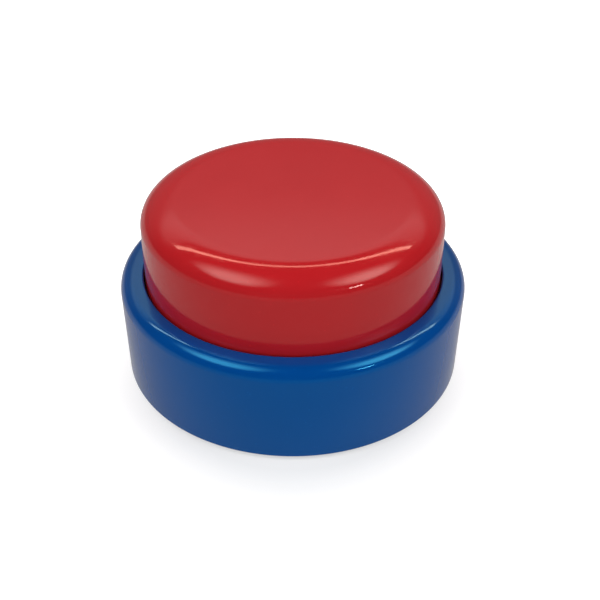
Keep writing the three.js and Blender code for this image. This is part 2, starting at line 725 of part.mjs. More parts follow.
// A round body lying along X, with a waist between its swollen ends.
function lyingBody({ radius, waist, length, sides }, [x, y], z) {
  const half = length / 2;
  const made = turned(
    [
      [0, -half],
      [radius, -half],
      [radius, -half * 0.6],
      [waist, -half * 0.45],
      [waist, half * 0.45],
      [radius, half * 0.6],
      [radius, half],
      [0, half],
    ],
    sides,
  );
  const geometry = geometryOf(made);
  geometry.rotateY(Math.PI / 2);
  geometry.translate(x, y, z);
  return solid(geometry);
}

function boardParts() {
  const blobRadius = 4.5;
  const blob = turned(
    [
      [0, BOARD_TOP + 0.05],
      [blobRadius, BOARD_TOP + 0.05],
      ...arc(0, BOARD_TOP + 0.1, blobRadius, 1.3, 0, 70, 3),
      [0, BOARD_TOP + 1.4],
    ],
    ROUND.small,
    [-12, 2],
  );
  add("sound_chip", MATERIAL.epoxy, blob);
  const can = { radius: 2, waist: 1.9, length: 7, sides: ROUND.small };
  add("capacitor", MATERIAL.capacitor, lyingBody(can, [12.5, 5.6], BOARD_TOP + 2.15));
  const bead = { radius: 0.95, waist: 0.75, length: 5.4, sides: ROUND.tiny };
  add("resistor_front", MATERIAL.resistor, lyingBody(bead, [-22, -1.8], BOARD_TOP + 1.1));
  add("resistor_rear", MATERIAL.resistor, lyingBody(bead, [-22, 6.2], BOARD_TOP + 1.1));
  const microphoneAt = [MICROPHONE.x, MICROPHONE.y];
  const capsule = rod(3, BOARD_BOTTOM - 2.75, BOARD_BOTTOM - 0.05, ROUND.small, microphoneAt);
  add("microphone", MATERIAL.steel, capsule);
}

// ---------------------------------------------------------------- speaker

// A 28 mm speaker facing down through the grille, on a foam gasket.
function speaker() {
  const at = [SPEAKER.x, SPEAKER.y];
  const outer = SPEAKER.radius;
  const flange = COVER_TOP + 0.65;
  const back = flange + 4.4;
  add("speaker_gasket", MATERIAL.foam, pipe(12, outer, COVER_TOP + GAP, flange - 0.05, ROUND.medium, at));
  const basket = turned(
    [
      [11.9, flange],
      [outer, flange],
      [outer, flange + 0.7],
      [12.7, flange + 1],
      [9.6, back],
      [4.6, back],
      [4.6, back - 0.7],
      [9, back - 0.7],
      [11.9, flange + 1],
    ],
    ROUND.medium,
    at,
  );
  const terminal = block([-3.5, SPEAKER.y - 11.1, back - 2.3], [3.5, SPEAKER.y - 9.3, back - 0.7]);
  add("speaker_frame", MATERIAL.steel, join(basket, terminal));
  const magnet = turned(
    [
      [0, back + 0.05],
      [7.5, back + 0.05],
      [7.5, back + 2.6],
      [7, back + 3.1],
      [0, back + 3.1],
    ],
    ROUND.medium,
    at,
  );
  add("speaker_magnet", MATERIAL.magnet, magnet);
  const coneWall = 0.4;
  add(
    "speaker_cone",
    MATERIAL.paper,
    turned(
      [
        [11.5, flange + 0.2],
        [10.6, flange + 0.05],
        [9.8, flange + 0.5],
        [4.3, back - 1.5],
        [4.3, back - 1.5 + coneWall],
        [9.9, flange + 0.5 + coneWall],
        [10.6, flange + 0.05 + coneWall],
        [11.5, flange + 0.2 + coneWall],
      ],
      ROUND.medium,
      at,
    ),
  );
  const capRim = back - 2.3;
  add(
    "speaker_dust_cap",
    MATERIAL.paper,
    turned(
      [
        [0, capRim - 1],
        [2.4, capRim - 0.8],
        [4.2, capRim],
        [4.2, capRim + 0.35],
        [2.4, capRim - 0.4],
        [0, capRim - 0.6],
      ],
      ROUND.small,
      at,
    ),
  );
  for (const [side, place] of Object.entries(SPEAKER_SCREWS)) {
    addScrew(`speaker_screw_${side}`, place, COVER_TOP + 1.4 + GAP, 1, { head: 3, height: 1.4, length: 2.6 });
  }
}

// ---------------------------------------------------------------- wires

function wires() {
  const radius = 0.6;
  const sides = 6;
  const stepsPerSpan = 3;
  const routes = {
    battery_wire_red: {
      material: MATERIAL.redWire,
      points: [
        [-28.2, -13.2, 12.3],
        [-28.6, -9.4, 12.6],
        [-28.2, -5.8, 12.3],
        [-27.3, -2.8, 11.4],
        [-26.6, -1.4, 11.35],
      ],
    },
    battery_wire_black: {
      material: MATERIAL.blackWire,
      points: [
        [-28.2, -23.4, 12.3],
        [-29.4, -19.6, 12.6],
        [-31.6, -15, 12.5],
        [-32.2, -10.5, 12.4],
        [-31.2, -6, 12.2],
        [-29.8, -3, 11.4],
        [-29.2, -1.6, 11.35],
      ],
    },
    speaker_wire_red: {
      material: MATERIAL.redWire,
      points: [[1.8, 14.4, 8.5], [2, 12.4, 9.2], [2.4, 10.5, 11.1], [3.1, 8.4, 11.9], [3.8, 6.6, 11.35]],
    },
    speaker_wire_black: {
      material: MATERIAL.blackWire,
      points: [[-1.8, 14.4, 8.5], [-2, 12.4, 9.2], [-2.4, 10.5, 11.1], [-3.1, 8.4, 11.9], [-3.8, 6.6, 11.35]],
    },
  };
  for (const [name, { material, points }] of Object.entries(routes)) {
    const route = new THREE.CatmullRomCurve3(points.map((point) => new THREE.Vector3(...point)));
    add(name, material, wireAlong(route, radius, sides, stepsPerSpan * (points.length - 1)));
  }
}

baseHousing();
buttonCap();
buttonCarrier();
plungerPad();
chassis();
buttonSprings();
bottomCover();
batteryDoor();
feet();
caseScrews();
addCell("battery_front", CELL_Y.front, 1);
addCell("battery_rear", CELL_Y.rear, -1);
contacts();
circuitBoard();
switches();
recordButton();
slideSwitch();
boardParts();
speaker();
wires();

export default buzzer;
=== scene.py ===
"""Looks of a round quiz buzzer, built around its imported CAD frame.

Meshes are drawn in millimetres in the frame's own axes and scaled to metres when they are placed.
-Y is the battery side, +Y the speaker side and +Z is up. Places and sizes come from the CAD nodes'
boxes where a box can say them.
"""
import math

import bmesh
import bpy
from mathutils import Matrix, Vector


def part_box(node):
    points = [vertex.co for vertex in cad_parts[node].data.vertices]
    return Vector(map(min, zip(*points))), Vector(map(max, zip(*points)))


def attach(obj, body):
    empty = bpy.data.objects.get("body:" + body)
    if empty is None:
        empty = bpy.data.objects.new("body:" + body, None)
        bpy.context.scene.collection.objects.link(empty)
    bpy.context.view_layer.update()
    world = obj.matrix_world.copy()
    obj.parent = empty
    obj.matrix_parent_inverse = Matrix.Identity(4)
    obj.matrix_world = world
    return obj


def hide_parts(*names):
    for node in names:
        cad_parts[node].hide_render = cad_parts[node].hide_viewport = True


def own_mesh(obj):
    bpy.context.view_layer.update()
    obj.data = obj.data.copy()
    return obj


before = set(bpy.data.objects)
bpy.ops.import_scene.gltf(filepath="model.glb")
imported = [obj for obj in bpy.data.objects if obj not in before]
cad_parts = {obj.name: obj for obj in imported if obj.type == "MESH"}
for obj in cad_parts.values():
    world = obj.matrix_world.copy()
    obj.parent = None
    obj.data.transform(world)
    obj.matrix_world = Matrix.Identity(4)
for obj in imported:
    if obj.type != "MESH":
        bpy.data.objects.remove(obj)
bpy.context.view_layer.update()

MM = 0.001
SHELL_SIDES = 240  # sides of the large round pieces
FINE_SIDES = 64  # sides of the small ones

# ---------------------------------------------------------------- sizes from the frame, in millimetres


def box_mm(node):
    low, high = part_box(node)
    return low / MM, high / MM


def middle(node):
    low, high = box_mm(node)
    return (low + high) / 2


def spot_of(node):
    """Where the middle of a node is, seen from above."""
    return tuple(middle(node)[:2])


RING_LOW, RING_HIGH = box_mm("upper_housing")
CAP_LOW, CAP_HIGH = box_mm("button_cap")
COVER_LOW, COVER_HIGH = box_mm("bottom_cover")
BOARD_LOW, BOARD_HIGH = box_mm("circuit_board")
RING_RADIUS = RING_HIGH.x
RING_TOP = RING_HIGH.z
RING_BOTTOM = RING_LOW.z
CAP_RADIUS = -CAP_LOW.y
CAP_TOP = CAP_HIGH.z
SKIRT_BOTTOM = CAP_LOW.z
TAB_REACH = CAP_HIGH.y  # how far the retaining tabs stand out
WALL = 2.2  # of the ring and of the cap
OPENING_RADIUS = CAP_RADIUS + 0.4
SHOULDER_RADIAL = 9.0  # the cap's rounded shoulder, across
SHOULDER_HEIGHT = 6.0  # and down
TAB_ANGLES = (90, 210, 330)
BOSS_ANGLES = (30, 150, 270)
SPRING_CIRCLE = 28.0  # radius of the circle that the springs stand on
CHASSIS_SCREW_CIRCLE = 39.6
CARRIER_SCREW_CIRCLE = 22.0
CHASSIS_TOP = 17.4
CHASSIS_BOTTOM = CHASSIS_TOP - 1.8
CARRIER_BOTTOM = 36.0
SLEEVE_BOTTOM = 29.0
BOSS = 2.6  # radius of a screw boss
PILOT = 1.05  # radius of a hole that a screw bites into
CLEAR_HOLE = 1.2  # and of one that it passes through
MOUTH = 0.3  # chamfer round the mouth of such a hole
COVER_FACE = COVER_LOW.z
COVER_TOP = 3.4  # inner face of the cover's floor
COVER_ROOT = COVER_TOP - 0.1  # what stands on that floor starts a little inside it
UNDER = COVER_FACE - 1  # where a cutter starts that goes in from below
WELL_X = 25.8  # half length of the battery bay's inside
WELL_FRONT, WELL_REAR, WELL_TOP = -29.0, -6.4, 14.1
BAY_WALL = 1.2
CELL_RADIUS = 5.25
CELL_FRONT_Y = middle("battery_front").y
CELL_REAR_Y = middle("battery_rear").y
CELL_Z = middle("battery_front").z
CONTACT_HALF = 4.2  # half width and half height of a contact plate
CONTACT_OUTER = WELL_X - 0.05
CONTACT_INNER = CONTACT_OUTER - 0.4
DOOR_LOW, DOOR_HIGH = box_mm("battery_door")
DOOR_Y = middle("battery_door").y
DOOR_HALF = 27.1  # half length of the door's plate
DOOR_GAP = 0.2
DOOR_SCREW = spot_of("battery_door_screw")
HOOKS_Y = (DOOR_Y - 7, DOOR_Y + 7)
SPEAKER = spot_of("speaker_gasket")
CORNERS = ("front_left", "front_right", "rear_left", "rear_right")
CASE_SCREWS = ["case_screw_" + corner for corner in CORNERS]
FEET = ["foot_" + corner for corner in CORNERS]

# ---------------------------------------------------------------- mesh building

# Quarter turns of a rounded corner in a profile, in degrees. Backwards they round a hollow corner.
LOW_OUTER = (-90, 0)
TOP_OUTER = (0, 90)
TOP_INNER = (90, 180)
LOW_INNER = (180, 270)


def arc(centre, radii, start, stop, steps):
    """Points on part of an ellipse in the (radius, height) plane, angles in degrees."""
    points = []
    for i in range(steps + 1):
        angle = math.radians(start + (stop - start) * i / steps)
        points.append((centre[0] + radii[0] * math.cos(angle), centre[1] + radii[1] * math.sin(angle)))
    return points


def rounded(radius, z, edge, quarter, steps):
    """A rounded corner of a profile, whose two sides would meet at (radius, z)."""
    start, stop = quarter
    halfway = math.radians((start + stop) / 2)
    centre_radius = radius - math.copysign(edge, math.cos(halfway))
    centre_z = z - math.copysign(edge, math.sin(halfway))
    return arc((centre_radius, centre_z), (edge, edge), start, stop, steps)


def polar(radius, angle):
    return radius * math.cos(math.radians(angle)), radius * math.sin(math.radians(angle))


def link(name, bm):
    """Makes an object of a finished closed mesh, with its faces turned outwards."""
    bmesh.ops.recalc_face_normals(bm, faces=bm.faces)
    if bm.calc_volume(signed=True) < 0:
        bmesh.ops.reverse_faces(bm, faces=bm.faces)
    mesh = bpy.data.meshes.new(name)
    bm.to_mesh(mesh)
    bm.free()
    piece = bpy.data.objects.new(name, mesh)
    bpy.context.scene.collection.objects.link(piece)
    return piece


def skin(bm, pairs, sides):
    """Faces between pairs of rings of vertices; a ring of one vertex is a point."""
    for low, high in pairs:
        for i in range(sides):
            j = (i + 1) % sides
            corners = [low[i % len(low)], low[j % len(low)], high[j % len(high)], high[i % len(high)]]
            face = list(dict.fromkeys(corners))
            if len(face) > 2:
                bm.faces.new(face)


def revolve(name, rows, sides=FINE_SIDES, at=(0, 0)):
    """A closed body turned about a vertical axis. A row is (radius, z), and its radius may be a
    function of the angle. Rows that start and end on the axis make a solid; others make a ring."""
    bm = bmesh.new()
    rings = []
    for radius, z in rows:
        if not callable(radius) and radius < 1e-6:
            rings.append([bm.verts.new((*at, z))])
            continue
        ring = []
        for i in range(sides):
            angle = 2 * math.pi * i / sides
            r = radius(angle) if callable(radius) else radius
            ring.append(bm.verts.new((at[0] + r * math.cos(angle), at[1] + r * math.sin(angle), z)))
        rings.append(ring)
    pairs = list(zip(rings, rings[1:]))
    if len(rings[0]) > 1:
        pairs.append((rings[-1], rings[0]))
    skin(bm, pairs, sides)
    return link(name, bm)


def turned(name, rows, sides=FINE_SIDES, at=(0, 0)):
    """A turned solid with a flat middle at both ends, which needs no rows of its own."""
    return revolve(name, [(0, rows[0][1]), *rows, (0, rows[-1][1])], sides, at)


def rod(radius, low, high, at=(0, 0), sides=FINE_SIDES, name="tool"):
    return turned(name, [(radius, low), (radius, high)], sides, at)


def bored(radius, low, high, flare, at=(0, 0), sides=FINE_SIDES):
    """A cutter for a hole whose lower mouth is at low and is broken by a small chamfer."""
    wide = radius + flare
    return turned("tool", [(wide, low - 1), (wide, low), (radius, low + flare), (radius, high)], sides, at)


def pipe(inner, outer, low, high, at=(0, 0), sides=FINE_SIDES, edge=0.12, name="tool"):
    """A ring with broken edges."""
    return revolve(name, [
        (inner, low + edge), (inner + edge, low), (outer - edge, low), (outer, low + edge),
        (outer, high - edge), (outer - edge, high), (inner + edge, high), (inner, high - edge),
    ], sides, at)


def block(low, high, turn=0, edge=0.0, name="tool"):
    """A box between two corners, its edges rounded if edge is given, turned about the vertical axis."""
    bm = bmesh.new()
    bmesh.ops.create_cube(bm, size=1)
    size = [b - a for a, b in zip(low, high)]
    centre = [(a + b) / 2 for a, b in zip(low, high)]
    bmesh.ops.scale(bm, vec=size, verts=bm.verts)
    bmesh.ops.translate(bm, vec=centre, verts=bm.verts)
    if edge:
        bmesh.ops.bevel(bm, geom=bm.edges[:], offset=edge, segments=3, profile=0.5, affect="EDGES")
    spin = Matrix.Rotation(math.radians(turn), 3, "Z")
    bmesh.ops.rotate(bm, cent=(0, 0, 0), matrix=spin, verts=bm.verts)
    return link(name, bm)


def block_at(spot, half_x, half_y, low, high, edge=0.0, name="tool"):
    """A box around a spot seen from above, between two heights."""
    x, y = spot
    return block((x - half_x, y - half_y, low), (x + half_x, y + half_y, high), edge=edge, name=name)


def sector(inner, outer, low, high, centre, width, steps=24):
    """A flat piece of a ring, centred on an angle in degrees."""
    bm = bmesh.new()
    section = ((inner, low), (outer, low), (outer, high), (inner, high))
    columns = []
    for i in range(steps + 1):
        angle = centre - width / 2 + width * i / steps
        columns.append([bm.verts.new((*polar(radius, angle), z)) for radius, z in section])
    skin(bm, list(zip(columns, columns[1:])), len(section))
    bm.faces.new(columns[0])
    bm.faces.new(columns[-1])
    return link("tool", bm)


def combine(piece, tools, operation):
    """Joins the tools to a piece or cuts them out of it, and removes them."""
    group = bpy.data.collections.new("tools")
    bpy.context.scene.collection.children.link(group)
    for tool in tools:
        bpy.context.scene.collection.objects.unlink(tool)
        group.objects.link(tool)
    modifier = piece.modifiers.new("boolean", "BOOLEAN")
    modifier.operation = operation
    modifier.operand_type = "COLLECTION"
    modifier.collection = group
    modifier.solver = "MANIFOLD"
    bm = bmesh.new()
    bm.from_mesh(piece.evaluated_get(bpy.context.evaluated_depsgraph_get()).to_mesh())
    bmesh.ops.dissolve_degenerate(bm, edges=bm.edges, dist=1e-4)
    piece.modifiers.clear()
    bm.to_mesh(piece.data)
    bm.free()
    for tool in tools:
        bpy.data.objects.remove(tool)
    bpy.data.collections.remove(group)
    return piece


def join(piece, *tools):
    return combine(piece, tools, "UNION")


def cut(piece, *tools):
    return combine(piece, tools, "DIFFERENCE")


def merge(name, *pieces):
    """Several closed bodies as one piece."""
    bm = bmesh.new()
    for piece in pieces:
        bm.from_mesh(piece.data)
        bpy.data.objects.remove(piece)
    return link(name, bm)


def moved(piece, to, quarter_turns=0, axis="Y"):
    """Turns a mesh about an axis through the origin, and then moves the origin to a point."""
    turn = Matrix.Rotation(quarter_turns * math.pi / 2, 4, axis)
    piece.data.transform(Matrix.Translation(to) @ turn)
    return piece


def domed(point, tangent, depth):
    """Places along a tube that round its end off; depth is negative at the far end."""
    shares = ((0.0, 0.0), (0.3, 0.7), (1.0, 1.0))
    return [(point + tangent * depth * along, tangent, wide) for along, wide in shares]


def sweep(name, points, radius, sides=12):
    """A closed round tube along a list of points, with domed ends."""
    bm = bmesh.new()
    points = [Vector(p) for p in points]
    steps = [b - a for a, b in zip(points, points[1:])]
    tangents = [step.normalized() for step in [*steps, steps[-1]]]
    stations = [(point, tangent, 1.0) for point, tangent in zip(points, tangents)]
    depth_in, depth_out = [min(radius, 0.8 * step.length) for step in (steps[0], steps[-1])]
    stations[:1] = domed(points[0], tangents[0], depth_in)
    stations[-1:] = domed(points[-1], tangents[-1], -depth_out)[::-1]
    across = tangents[0].orthogonal().normalized()
    rings = []
    for point, tangent, wide in stations:
        across = (across - tangent * across.dot(tangent)).normalized()
        side = tangent.cross(across)
        ring = []
        for k in range(sides if wide else 1):
            angle = 2 * math.pi * k / sides
            offset = (across * math.cos(angle) + side * math.sin(angle)) * radius * wide
            ring.append(bm.verts.new(point + offset))
        rings.append(ring)
    skin(bm, list(zip(rings, rings[1:])), sides)
    return link(name, bm)


def smooth_line(points, steps=8):
    """More points on a smooth line through the given ones."""
    points = [Vector(p) for p in points]
    padded = [points[0] * 2 - points[1], *points, points[-1] * 2 - points[-2]]
    line = []
    for a, b, c, d in zip(padded, padded[1:], padded[2:], padded[3:]):
        for i in range(steps):
            t = i / steps
            bend = (2 * a - 5 * b + 4 * c - d) * t * t + (3 * b - a - 3 * c + d) * t ** 3
            line.append(0.5 * (2 * b + (c - a) * t + bend))
    line.append(points[-1])
    return line


def place(piece, slot, *nodes, body="base", material=None, smooth=35):
    """Scales a finished mesh to metres, gives it its material and puts it on its CAD body."""
    piece.data.transform(Matrix.Scale(MM, 4))
    piece.data.materials.clear()
    piece.data.materials.append(material or MATERIALS[slot])
    piece.data.shade_smooth()
    piece.data.set_sharp_from_angle(angle=math.radians(smooth))
    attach(piece, body)
    if nodes:
        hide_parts(*nodes)
    return piece


# ---------------------------------------------------------------- materials


class Graph:
    """Adds nodes to a node tree. What an input gets is a number, a colour or another node's output."""

    def __init__(self, tree):
        self.nodes = tree.nodes
        self.links = tree.links

    def set(self, socket, value):
        if isinstance(value, bpy.types.NodeSocket):
            self.links.new(value, socket)
        else:
            socket.default_value = (*value, 1) if socket.type == "RGBA" else value

    def add(self, kind, fields=None, **inputs):
        """A new node. An input is given by its name, or by its number after an underscore."""
        node = self.nodes.new("ShaderNode" + kind)
        for key, value in (fields or {}).items():
            setattr(node, key, value)
        for key, value in inputs.items():
            self.set(node.inputs[int(key[1:])] if key[0] == "_" else node.inputs[key], value)
        return node

    def spread(self, value, low, high, start=0.0, stop=1.0, easing="LINEAR"):
        """Maps a value from start..stop to low..high."""
        fields = {"interpolation_type": easing}
        return self.add("MapRange", fields, _0=value, _1=start, _2=stop, _3=low, _4=high).outputs[0]

    def mix(self, share, a, b):
        return self.add("Mix", {"data_type": "RGBA"}, _0=share, _6=a, _7=b).outputs[2]

    def math(self, operation, a, b):
        return self.add("Math", {"operation": operation}, _0=a, _1=b).outputs[0]

    def distance(self, place, point=(0, 0, 0)):
        return self.add("VectorMath", {"operation": "DISTANCE"}, _0=place, _1=point).outputs["Value"]


class Material(Graph):
    """A Principled surface in the making, with its coordinates in millimetres."""

    def __init__(self, name, specular=0.5, metallic=0.0):
        self.material = bpy.data.materials.new(name)
        self.material.use_nodes = True
        super().__init__(self.material.node_tree)
        self.surface = self.nodes["Principled BSDF"]
        self.give("Specular IOR Level", specular)
        self.give("Metallic", metallic)
        point = self.add("TexCoord").outputs["Object"]
        self.point = self.add("VectorMath", {"operation": "SCALE"}, _0=point, Scale=1 / MM).outputs[0]

    def give(self, name, value):
        self.set(self.surface.inputs[name], value)

    def noise(self, size, detail=3.0, roughness=0.55, stretch=None):
        """Noise whose features are about size millimetres across."""
        point = self.point
        if stretch:
            point = self.add("VectorMath", {"operation": "MULTIPLY"}, _0=point, _1=stretch).outputs[0]
        made = self.add("TexNoise", Vector=point, Scale=1 / size, Detail=detail, Roughness=roughness)
        return made.outputs["Fac"]

    def vary(self, share, color, low, high):
        """A colour that runs from one shade of itself to another."""
        return self.mix(share, shade(color, low), shade(color, high))

    def finished(self, color, roughness, *bumps):
        """The material. A bump is (height, depth in millimetres); they go from coarse to fine."""
        self.give("Base Color", color)
        self.give("Roughness", roughness)
        normal = None
        for height, depth in bumps:
            node = self.add("Bump", Height=height, Strength=1.0, Distance=depth * MM)
            if normal:
                self.set(node.inputs["Normal"], normal)
            normal = node.outputs["Normal"]
        self.give("Normal", normal)
        return self.material


def shade(color, factor):
    return tuple(min(1.0, c * factor) for c in color)


def scratches(made, size=0.9):
    """A mask of fine, sparse hairlines running several ways."""
    total = None
    for stretch in ((1, 14, 3), (12, 1, 3), (9, 9, 1)):
        line = made.noise(size, detail=1.0, stretch=stretch)
        thin = made.spread(line, 0.0, 1.0, 0.69, 0.73)
        total = thin if total is None else made.math("MAXIMUM", total, thin)
    return total


def gloss_plastic(name, color, roughness, tint=(1, 1, 1), specular=0.5):
    """Polished moulded plastic: faint flow variation, orange peel, hairlines and dull handled patches."""
    made = Material(name, specular)
    made.give("Specular Tint", tint)
    fine = made.noise(0.35, detail=4.0)
    hairlines = scratches(made)
    body = made.vary(made.noise(23.0, detail=2.0), color, 0.95, 1.05)
    specks = made.spread(made.noise(0.5, detail=0.0), 0.0, 0.35, 0.79, 0.84)
    handled = made.spread(made.noise(11.0, detail=5.0), 0.0, 0.06, 0.45, 0.75)
    polish = made.math("ADD", made.spread(fine, roughness - 0.02, roughness + 0.02), handled)
    return made.finished(
        made.mix(specks, body, shade(color, 1.5)),
        made.math("ADD", polish, made.math("MULTIPLY", hairlines, 0.14)),
        (made.noise(3.2, detail=1.0), 0.004), (hairlines, 0.002), (fine, 0.0004),
    )


def textured_plastic(name, color, roughness=0.48, grain=0.22, depth=0.02):
    """Moulded plastic with a spark-eroded grain that is rubbed a little smoother in patches."""
    made = Material(name, specular=0.45)
    grains = made.noise(grain, detail=2.0, roughness=0.7)
    rubbed = made.spread(made.noise(14.0, detail=4.0), 0.0, 1.0, 0.42, 0.66)
    body = made.vary(made.noise(9.0), color, 0.88, 1.1)
    return made.finished(
        made.mix(made.spread(grains, 0.0, 0.22, 0.3, 0.7), body, shade(color, 1.55)),
        made.spread(rubbed, roughness + 0.08, roughness - 0.1),
        (made.noise(5.0, detail=1.0), 0.01), (grains, depth), (scratches(made, 1.4), 0.006),
    )


def soft_rubber(name, color):
    """Matt rubber with a chalky bloom and a fine tooth."""
    made = Material(name, specular=0.35)
    bloom = made.spread(made.noise(1.8, detail=6.0, roughness=0.7), 0.0, 0.5, 0.42, 0.74)
    chalky = made.vary(bloom, color, 1, 3.2)
    bumps = (made.noise(0.25), 0.03), (made.noise(2.0), 0.03)
    return made.finished(chalky, made.spread(bloom, 0.7, 0.9), *bumps)


def foam(name, color):
    """Closed-cell foam: small round cells, dented in the middle, with painted shade that darkens towards
    each dent's bottom.
    """
    made = Material(name, specular=0.2)
    pit_depth_and_shade = made.add("TexVoronoi", Vector=made.point, Scale=1 / 0.22).outputs["Distance"]
    # Painted shade: the same dent depth that drives the bump makes the colour darker.
    return made.finished(made.vary(pit_depth_and_shade, color, 0.5, 1.8), 0.95, (pit_depth_and_shade, 0.08))


def metal(name, color, roughness, grain, tarnish=0.25):
    """Plated or drawn metal: directional polishing lines, duller blotches and small nicks."""
    made = Material(name, metallic=1.0)
    lines = made.noise(0.5, stretch=grain)
    blotch = made.spread(made.noise(1.7, detail=6.0, roughness=0.65), 0.0, 1.0, 0.45, 0.72)
    polish = made.spread(lines, roughness - 0.07, roughness + 0.1)
    return made.finished(
        made.vary(made.math("MULTIPLY", blotch, tarnish), color, 1, 0.45),
        made.math("ADD", polish, made.math("MULTIPLY", blotch, 0.15)),
        (lines, 0.006), (made.noise(0.9, detail=4.0), 0.006),
    )


def board_mask(name):
    """Green solder mask over the faint weave of the glass cloth, with patches of painted sheen."""
    made = Material(name)
    warp = made.noise(0.5, detail=1.0, stretch=(1, 9, 1))
    weft = made.noise(0.5, detail=1.0, stretch=(9, 1, 1))
    weave = made.math("ADD", warp, weft)
    # Painted sheen: random patches painted a lighter green, which are also rougher.
    painted_sheen_patches = made.noise(6.0)
    body = made.mix(made.spread(weave, 0.0, 1.0, 0.7, 1.3), (0.006, 0.105, 0.032), (0.014, 0.165, 0.052))
    color = made.mix(made.spread(painted_sheen_patches, 0.0, 0.4, 0.55, 0.75), body, (0.03, 0.2, 0.09))
    return made.finished(color, made.spread(painted_sheen_patches, 0.26, 0.44), (weave, 0.01), (made.noise(0.15), 0.004))


def paper(name, color):
    """Pressed paper pulp: short fibres lying every way."""
    made = Material(name, specular=0.25)
    fibres = made.math("MAXIMUM", made.noise(0.5, stretch=(1, 7, 2)), made.noise(0.5, stretch=(7, 1, 2)))
    pale = made.vary(made.spread(fibres, 0.0, 1.0, 0.5, 0.75), color, 0.8, 2.2)
    return made.finished(pale, made.spread(fibres, 0.75, 0.92), (fibres, 0.03), (made.noise(0.2), 0.01))


def ferrite(name, color):
    """Dull sintered magnet with a granular face."""
    made = Material(name, metallic=0.35)
    grit = made.noise(0.3, detail=5.0, roughness=0.7)
    clouds = made.vary(made.noise(4.0), color, 0.8, 1.25)
    return made.finished(clouds, made.spread(grit, 0.5, 0.75), (grit, 0.03))


def bands(made, stops, centre, facing, base):
    """Rings of colour along X. A stop is (from, to, colour), in millimetres from the centre."""
    x = made.add("SeparateXYZ", _0=made.point).outputs[0]
    along = made.math("MULTIPLY", made.math("SUBTRACT", x, centre), facing)
    color = base
    for start, stop, painted in stops:
        over = made.math("GREATER_THAN", along, start)
        under = made.math("LESS_THAN", along, stop)
        color = made.mix(made.math("MULTIPLY", over, under), color, painted)
    return color


def cell_jacket(name, centre, facing):
    """A plain printed jacket: charcoal with a silver collar and thin silver lines."""
    made = Material(name, metallic=0.25)
    scuff = made.spread(made.noise(2.2, detail=5.0, roughness=0.7), 0.0, 0.5, 0.5, 0.8)
    charcoal = made.mix(made.noise(5.0), (0.03, 0.034, 0.038), (0.046, 0.05, 0.056))
    silver = (0.5, 0.51, 0.52)
    stops = [(*ends, silver) for ends in ((12.5, 30.0), (10.9, 11.5), (9.8, 10.1), (-20.4, -19.8))]
    printed = bands(made, stops, centre, facing, charcoal)
    worn = made.mix(made.math("MULTIPLY", scuff, 0.35), printed, (0.2, 0.2, 0.2))
    bumps = (made.noise(0.3), 0.004), (scratches(made, 1.2), 0.006)
    return made.finished(worn, made.spread(scuff, 0.24, 0.6), *bumps)


PAINT = {
    "red": (0.3, 0.02, 0.01),
    "brown": (0.25, 0.1, 0.01),
    "black": (0.02, 0.02, 0.02),
    "orange": (0.4, 0.18, 0.01),
    "gold": (0.55, 0.35, 0.08),
}


def resistor_body(name, centre, colors):
    """Beige lacquer with painted colour bands, the first colour twice."""
    made = Material(name)
    lacquer = made.mix(made.noise(0.8), (0.5, 0.34, 0.17), (0.64, 0.46, 0.25))
    first, second, last = [PAINT[color] for color in colors]
    stops = ((-2.1, -1.75, first), (-0.9, -0.55, second), (-0.15, 0.2, first), (1.7, 2.05, last))
    painted = bands(made, stops, centre, 1, lacquer)
    return made.finished(painted, made.spread(made.noise(0.4), 0.32, 0.5), (made.noise(0.3), 0.01))


RED = (0.43, 0.0112, 0.0150)
BLUE = (0.0003, 0.054, 0.252)
MATERIALS = {
    "cap_red": gloss_plastic("cap_red_gloss", RED, 0.055, (1.0, 0.72, 0.66), 0.4),
    "base_blue": gloss_plastic("ring_blue_gloss", BLUE, 0.06, (0.09, 0.7, 1.0), 0.66),
    "record_red": gloss_plastic("record_red_gloss", RED, 0.14),
    "cover_blue": textured_plastic("cover_blue_grain", (0.001, 0.05, 0.225)),
    "white_plastic": textured_plastic("white_moulding", (0.7, 0.7, 0.66), 0.38, 0.4, 0.006),
    "black_plastic": textured_plastic("black_moulding", (0.018, 0.018, 0.02), 0.42, 0.2, 0.01),
    "rubber": soft_rubber("black_rubber", (0.018, 0.018, 0.019)),
    "foam": foam("closed_cell_foam", (0.03, 0.03, 0.032)),
    "circuit_board": board_mask("green_solder_mask"),
    "track": gloss_plastic("track_under_mask", (0.02, 0.24, 0.07), 0.3),
    "epoxy": gloss_plastic("black_epoxy", (0.008, 0.008, 0.009), 0.2),
    "capacitor_sleeve": gloss_plastic("shrink_sleeve", (0.008, 0.026, 0.09), 0.28),
    "speaker_paper": paper("black_cone_paper", (0.025, 0.022, 0.02)),
    "magnet": ferrite("ferrite_grey", (0.09, 0.09, 0.095)),
    "pressed_steel": metal("zinc_sheet", (0.55, 0.56, 0.57), 0.32, (1, 1, 6)),
    "screw_steel": metal("zinc_screw", (0.52, 0.52, 0.53), 0.28, (6, 6, 1), 0.4),
    "spring_steel": metal("drawn_spring_wire", (0.42, 0.43, 0.44), 0.26, (1, 1, 3), 0.3),
    "contact_nickel": metal("nickel_plate", (0.66, 0.65, 0.62), 0.22, (1, 8, 8), 0.2),
    "solder": metal("solder_tin", (0.72, 0.72, 0.71), 0.24, (2, 2, 2), 0.3),
    "wire_red": gloss_plastic("red_insulation", (0.38, 0.012, 0.012), 0.34),
    "wire_black": gloss_plastic("black_insulation", (0.012, 0.012, 0.013), 0.34),
}

# ---------------------------------------------------------------- the blue ring


